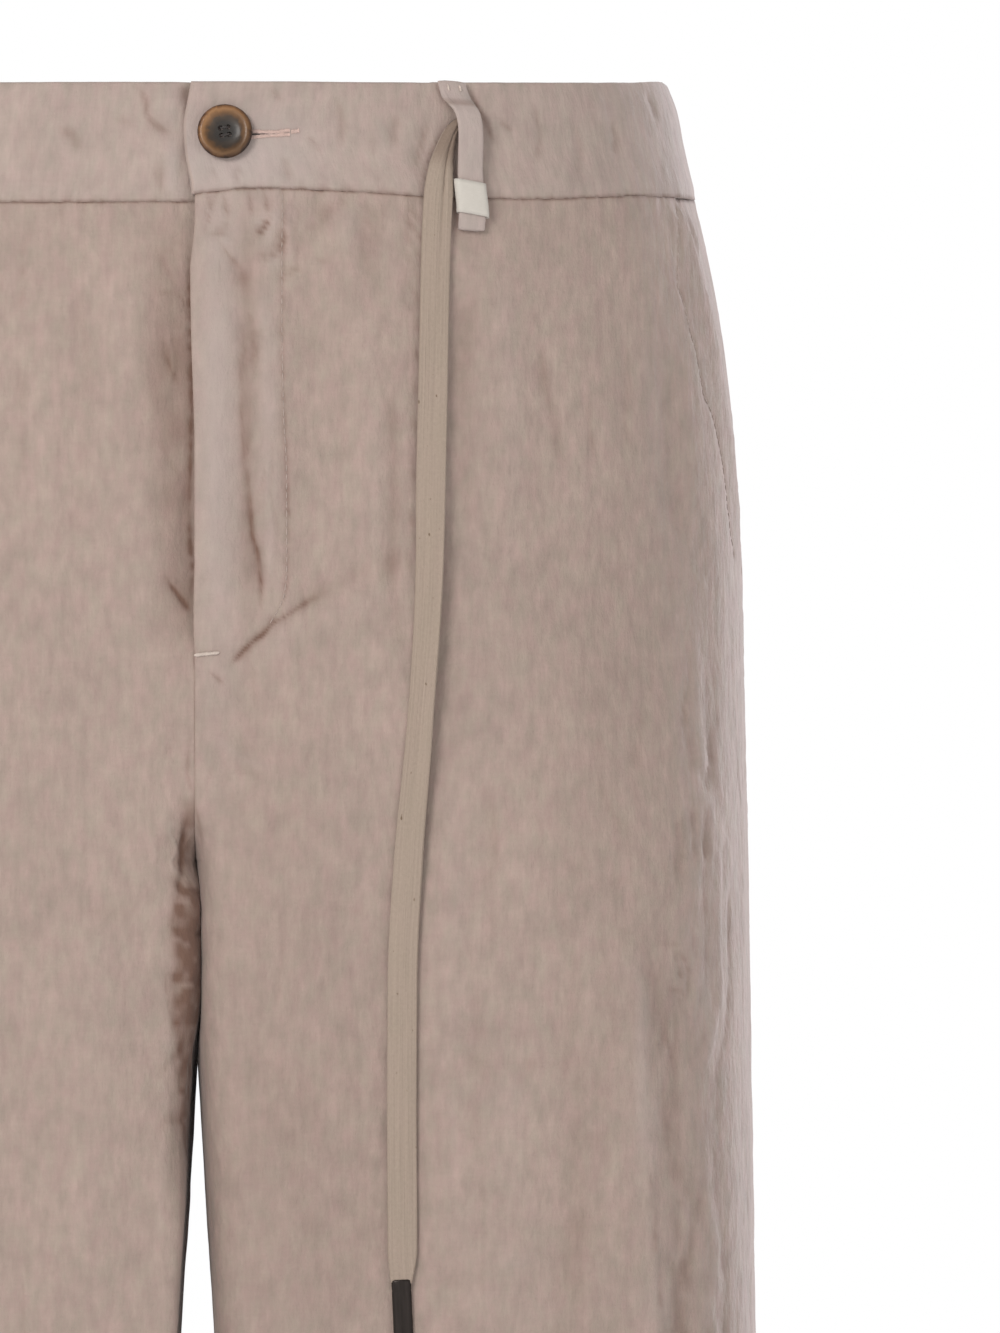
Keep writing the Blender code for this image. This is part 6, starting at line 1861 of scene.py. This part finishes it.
def stitch_tree():
    """Geometry nodes that lay one thread stitch on each point, along and out as the point's attributes
    say."""
    tree = bpy.data.node_groups.new("stitches", "GeometryNodeTree")
    for name, kind in (("Geometry", "Geometry"), ("Thread", "Float"), ("Unevenness", "Float"),
                       ("Seed", "Int"),
                       ("Finish", "Material")):
        tree.interface.new_socket(name, in_out="INPUT", socket_type="NodeSocket" + kind)
    tree.interface.new_socket("Geometry", in_out="OUTPUT", socket_type="NodeSocketGeometry")

    def add(kind, inputs=None, **settings):
        return put(tree, kind, inputs, **settings).outputs

    given = add("NodeGroupInput")
    along = add("GeometryNodeInputNamedAttribute", {"Name": "along"}, data_type="FLOAT_VECTOR")[0]
    out = add("GeometryNodeInputNamedAttribute", {"Name": "out"}, data_type="FLOAT_VECTOR")[0]
    size = add("GeometryNodeInputNamedAttribute", {"Name": "size"}, data_type="FLOAT")[0]
    turn = add("FunctionNodeAxesToRotation", {"Primary Axis": along, "Secondary Axis": out}, primary_axis="X",
               secondary_axis="Z")[0]
    low = add("ShaderNodeMath", {0: 1.0, 1: given["Unevenness"]}, operation="SUBTRACT")[0]
    high = add("ShaderNodeMath", {0: 1.0, 1: given["Unevenness"]}, operation="ADD")[0]
    vary = add("FunctionNodeRandomValue", {2: low, 3: high, "Seed": given["Seed"]}, data_type="FLOAT")[1]
    length = add("ShaderNodeMath", {0: size, 1: vary}, operation="MULTIPLY")[0]
    scale = add("ShaderNodeCombineXYZ", {"X": length, "Y": given["Thread"], "Z": given["Thread"]})[0]
    ball = add("GeometryNodeMeshUVSphere", {"Segments": 8, "Rings": 6, "Radius": 0.5})[0]
    lying = add("GeometryNodeTransform", {"Geometry": ball, "Rotation": (0.0, math.pi / 2, 0.0)})[0]
    placed = add("GeometryNodeInstanceOnPoints", {"Points": given[0], "Instance": lying, "Rotation": turn,
                                                  "Scale": scale})[0]
    real = add("GeometryNodeRealizeInstances", {"Geometry": placed})[0]
    smooth = add("GeometryNodeSetShadeSmooth", {"Geometry": real})[0]
    finished = add("GeometryNodeSetMaterial", {"Geometry": smooth, "Material": given["Finish"]})[0]
    put(tree, "NodeGroupOutput", {0: finished})
    return tree


STITCH_TREE = stitch_tree()


def make_stitches(name, rows, thread, material, seed=1):
    """One mesh of stitches from rows of (points, along, out, lengths)."""
    points, along, out, sizes = (np.concatenate([row[k] for row in rows]) for k in range(4))
    mesh = bpy.data.meshes.new(name)
    mesh.from_pydata(points.tolist(), [], [])
    kept = (("along", along, "FLOAT_VECTOR", "vector"), ("out", out, "FLOAT_VECTOR", "vector"),
            ("size", sizes, "FLOAT", "value"))
    for label, values, kind, key in kept:
        attribute = mesh.attributes.new(label, kind, "POINT")
        attribute.data.foreach_set(key, np.asarray(values, np.float32).ravel())
    piece = add_object(name, mesh)
    laid = piece.modifiers.new("stitches", "NODES")
    laid.node_group = STITCH_TREE
    given = {"Thread": thread, "Unevenness": STITCH_UNEVENNESS, "Seed": seed, "Finish": material}
    for item in STITCH_TREE.interface.items_tree:
        if item.in_out == "INPUT" and item.name in given:
            laid[item.identifier] = given[item.name]
    return with_modifiers_applied(piece)


def stitch_row(cloth, path, pitch, length, lift, turned=False, by_arc=False):
    """A row of stitches that follows a path of (x or arc, drop) places over a panel."""
    path = np.array(path, float)
    way = way_along(path)
    count = max(2, round(way[-1] / pitch))
    at = (np.arange(count) + 0.5) / count * way[-1]
    smooth = len(path) > 2
    first = smooth_curve(way, path[:, 0])(at) if smooth else np.interp(at, way, path[:, 0])
    drops = smooth_curve(way, path[:, 1])(at) if smooth else np.interp(at, way, path[:, 1])
    key = "arcs" if by_arc else "xs"
    spots, outs, _ = on_panel(cloth, drops, **{key: first})
    along = unit(np.gradient(spots, axis=0))
    if turned:
        along = np.cross(outs, along)
    return spots + outs * lift, along, outs, np.full(count, length)


# Each thread lies in its own furrow, so the stitches stand only a hair over the cloth.
STITCH_PITCH = 0.0029
STITCH_LENGTH = 0.0023
STITCH_THREAD = 0.00042
STITCH_LIFT = 0.00004
STITCH_UNEVENNESS = 0.12
FLY_STITCH_SHOWN = FLY_STITCH[:-3]
BAR_TACK = [(0.0006, 0.1816), (0.0072, 0.1809)]
TACK_PITCH = 0.0004
BUTTONHOLE = [(0.0178, 0.0180), (0.0240, 0.0178), (0.0300, 0.0173)]
BUTTONHOLE_LIPS = 0.00105
BUTTONHOLE_LIFT = 0.00022
BUTTONHOLE_END = [(0.0304, 0.0171), (0.0330, 0.0167)]
BUTTONHOLE_SLIT = [(0.0185, 0.0180), (0.0262, 0.0178)]
LOOP_STITCH_DROP = 0.0024
LOOP_STITCH_LENGTH = 0.0024
LOOP_STITCH_SHIFTS = (-0.0019, 0.0021)
HEM_STITCH_UP = 0.028


def seam_stitches(name, rows, seed):
    """Plain sewing in the cloth's own colour."""
    return make_stitches(name, rows, STITCH_THREAD, seam_thread, seed)


def sewn_path(cloth, path, **options):
    """A row of plain sewing over a panel."""
    return stitch_row(cloth, path, STITCH_PITCH, STITCH_LENGTH, STITCH_LIFT, **options)


def loop_stitch_row():
    """The two stitches that hold the top of the left front loop."""
    at, middles, acrosses, outs = loop_lines["belt_loop_front_left"]
    k = int(np.searchsorted(at, LOOP_STITCH_DROP))
    down = unit(middles[k + 1] - middles[k - 1])
    lift = outs[k] * (LOOP_THICK / 2 + 0.00025)
    spots = np.array([middles[k] + acrosses[k] * shift + lift for shift in LOOP_STITCH_SHIFTS])
    return spots, np.array([down] * 2), outs[[k, k]], np.array([LOOP_STITCH_LENGTH] * 2)


def buttonhole_rows(band):
    """The buttonhole's two lips, which draw together at its end, and the bar across it."""
    rows = []
    for lip in (-BUTTONHOLE_LIPS, BUTTONHOLE_LIPS):
        (x0, drop0), (x1, drop1), (x2, drop2) = BUTTONHOLE
        path = [(x0, drop0 + lip), (x1, drop1 + lip * 0.5), (x2, drop2 + lip * 0.7)]
        rows.append(stitch_row(band, path, TACK_PITCH, 0.0014, BUTTONHOLE_LIFT, turned=True))
    rows.append(stitch_row(band, BUTTONHOLE_END, TACK_PITCH, 0.0015, BUTTONHOLE_LIFT, turned=True))
    return rows


def hem_rows(side):
    """The hem's stitching round one leg."""
    rows = []
    for cloth in (fronts[side], backs[side]):
        drop = TOTAL_DROP - HEM_STITCH_UP
        length = outline_row(side, cloth.face, drop)[2][-1]
        rows.append(sewn_path(cloth, [(0.0008, drop), (length - 0.0008, drop)], by_arc=True))
    return rows


def button_stitch_row():
    """The two stitches that show in the button's hollow."""
    foot, across, up, out = button_place()
    angle = math.radians(HOLE_TURN)
    level = foot + out * (SHANK_HEIGHT + BUTTON_THICK * 0.60 + 0.0001)
    shift = (up * math.cos(angle) - across * math.sin(angle)) * HOLE_OUT * math.sqrt(0.5)
    way = across * math.cos(angle) + up * math.sin(angle)
    spots = np.array([level - shift, level + shift])
    return spots, np.array([way] * 2), np.array([out] * 2), np.array([0.0030] * 2)


# Near-black thread laid along the buttonhole's slit: a painted shadow in its opening.
slit_shadow_row = stitch_row(bands[LEFT], BUTTONHOLE_SLIT, 0.0030, 0.0044, 0.00012)
stitches = [
    seam_stitches("fly_stitches", [sewn_path(fronts[LEFT], FLY_STITCH_SHOWN)], 3),
    make_stitches("fly_bar_tack", [stitch_row(fronts[LEFT], BAR_TACK, 0.0013, 0.0028, 0.0003)], 0.0012,
                  pale_thread, 4),
    make_stitches("loop_stitches", [loop_stitch_row()], 0.0007, pale_thread, 11),
    make_stitches("buttonhole_stitches", buttonhole_rows(bands[LEFT]), 0.00042, rosy_thread, 8),
    make_stitches("buttonhole_slit_shadow", [slit_shadow_row], 0.00050, dark_thread_and_slit_shadow, 10),
]
for side, word in SIDE_WORD.items():
    stitches.append(seam_stitches("pocket_stitches_" + word, [sewn_path(fronts[side], POCKET_STITCH)], 5))
    stitches.append(seam_stitches("hem_stitches_" + word, hem_rows(side), 6))
stitches.append(make_stitches("button_stitches", [button_stitch_row()], 0.0008, dark_thread_and_slit_shadow, 9))

# ---------------------------------------------------------------- what rides and what it replaces

# The pieces as they are cut flat: width and length, and the area that each covers.
FRONT_CUT, FRONT_AREA = (0.335, 0.455), 0.128
BACK_CUT, BACK_AREA = (0.360, 0.455), 0.139


def dress(piece, node=None):
    """Rides a piece on the one body, and shows it in place of its solid."""
    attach(piece, "root")
    if node:
        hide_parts(node)


for panels, word, cut, area in (
    (fronts, "front_", FRONT_CUT, FRONT_AREA),
    (backs, "back_", BACK_CUT, BACK_AREA),
):
    for side in (LEFT, RIGHT):
        piece = panels[side].piece
        dress(piece, word + SIDE_WORD[side])
for side, word in SIDE_WORD.items():
    dress(facings[side], "pocket_facing_" + word)
for name, piece in loops.items():
    dress(piece, name)
dress(label, "label")
dress(button_piece, "button")
for piece in stitches:
    dress(piece)
for side, word in SIDE_WORD.items():
    piece = bands[side].piece
    dress(piece, "waistband_" + word)
    with_pieces = [loops["belt_loop_front_" + word], loops["belt_loop_back_" + word]]
    if side == LEFT:
        with_pieces += [loops["belt_loop_centre_back"], label]
dress(tape, "drawstring")
dress(tip, "drawstring_tip")

# ---------------------------------------------------------------- floor and light

WHITE = (1.0, 1.0, 1.0, 1.0)
FLOOR_DROP = 0.62
FLOOR_RADIUS = 7.0
FLOOR_GREY = 0.86
FLOOR_FADES_FROM, FLOOR_WHITE_FROM = 0.35, 2.2


def pale_floor():
    """A plain pale floor that runs out to the white of the background."""
    disc = bmesh.new()
    bmesh.ops.create_circle(disc, cap_ends=True, segments=96, radius=FLOOR_RADIUS)
    floor = bmesh_object("floor", disc)
    floor.data.transform(Matrix.Translation((0.0, 0.0, height(FLOOR_DROP))))
    material, tree = new_material("floor_paint", 0.9)
    tree.shader.inputs["Base Color"].default_value = (FLOOR_GREY, FLOOR_GREY, FLOOR_GREY, 1.0)
    glow = put(tree, "ShaderNodeEmission", {"Color": WHITE})
    place = put(tree, "ShaderNodeTexCoord").outputs["Object"]
    far = put(tree, "ShaderNodeVectorMath", {0: place}, operation="LENGTH").outputs["Value"]
    share = put(tree, "ShaderNodeMapRange", {"Value": far, "From Min": FLOOR_FADES_FROM,
                                             "From Max": FLOOR_WHITE_FROM}, interpolation_type="SMOOTHSTEP")
    mix = put(tree, "ShaderNodeMixShader", {0: share.outputs[0], 1: tree.shader.outputs[0],
                                            2: glow.outputs[0]})
    tree.links.new(mix.outputs[0], tree.nodes["Material Output"].inputs["Surface"])
    floor.data.materials.append(material)


Lamp = namedtuple("Lamp", "name place size energy color")
LAMPS = [
    Lamp("key_light", (-0.95, -2.2, 0.75), 0.8, 28.0, (1.0, 0.975, 0.955)),
    Lamp("side_light", (1.7, 2.2, 0.3), 1.2, 63.0, (0.86, 0.89, 1.0)),
    Lamp("fill_light", (1.3, -2.3, -0.1), 1.2, 4.5, (1.0, 0.97, 0.93)),
    Lamp("far_side_light", (-2.6, 1.2, 0.3), 1.6, 22.0, (0.97, 0.98, 1.0)),
]
AIM = Vector((0.05, 0.0, -0.2))
SURROUND_STRENGTH = 0.54


def studio_light():
    """Large soft lamps all round and an even white surround."""
    for lamp in LAMPS:
        data = bpy.data.lights.new(lamp.name, "AREA")
        data.shape = "SQUARE"
        data.size = lamp.size
        data.energy = lamp.energy
        data.color = lamp.color
        light = add_object(lamp.name, data)
        light.location = lamp.place
        light.rotation_euler = (AIM - Vector(lamp.place)).to_track_quat("-Z", "Y").to_euler()
        light.visible_camera = False
    world = bpy.data.worlds.new("surround")
    world.use_nodes = True
    tree = world.node_tree
    soft = tree.nodes["Background"]
    soft.inputs["Color"].default_value = WHITE
    soft.inputs["Strength"].default_value = SURROUND_STRENGTH
    seen = put(tree, "ShaderNodeBackground", {"Color": WHITE})
    rays = put(tree, "ShaderNodeLightPath").outputs["Is Camera Ray"]
    mix = put(tree, "ShaderNodeMixShader", {0: rays, 1: soft.outputs[0], 2: seen.outputs[0]})
    tree.links.new(mix.outputs[0], tree.nodes["World Output"].inputs["Surface"])
    bpy.context.scene.world = world
    bpy.context.scene.view_settings.view_transform = "Standard"


pale_floor()
studio_light()
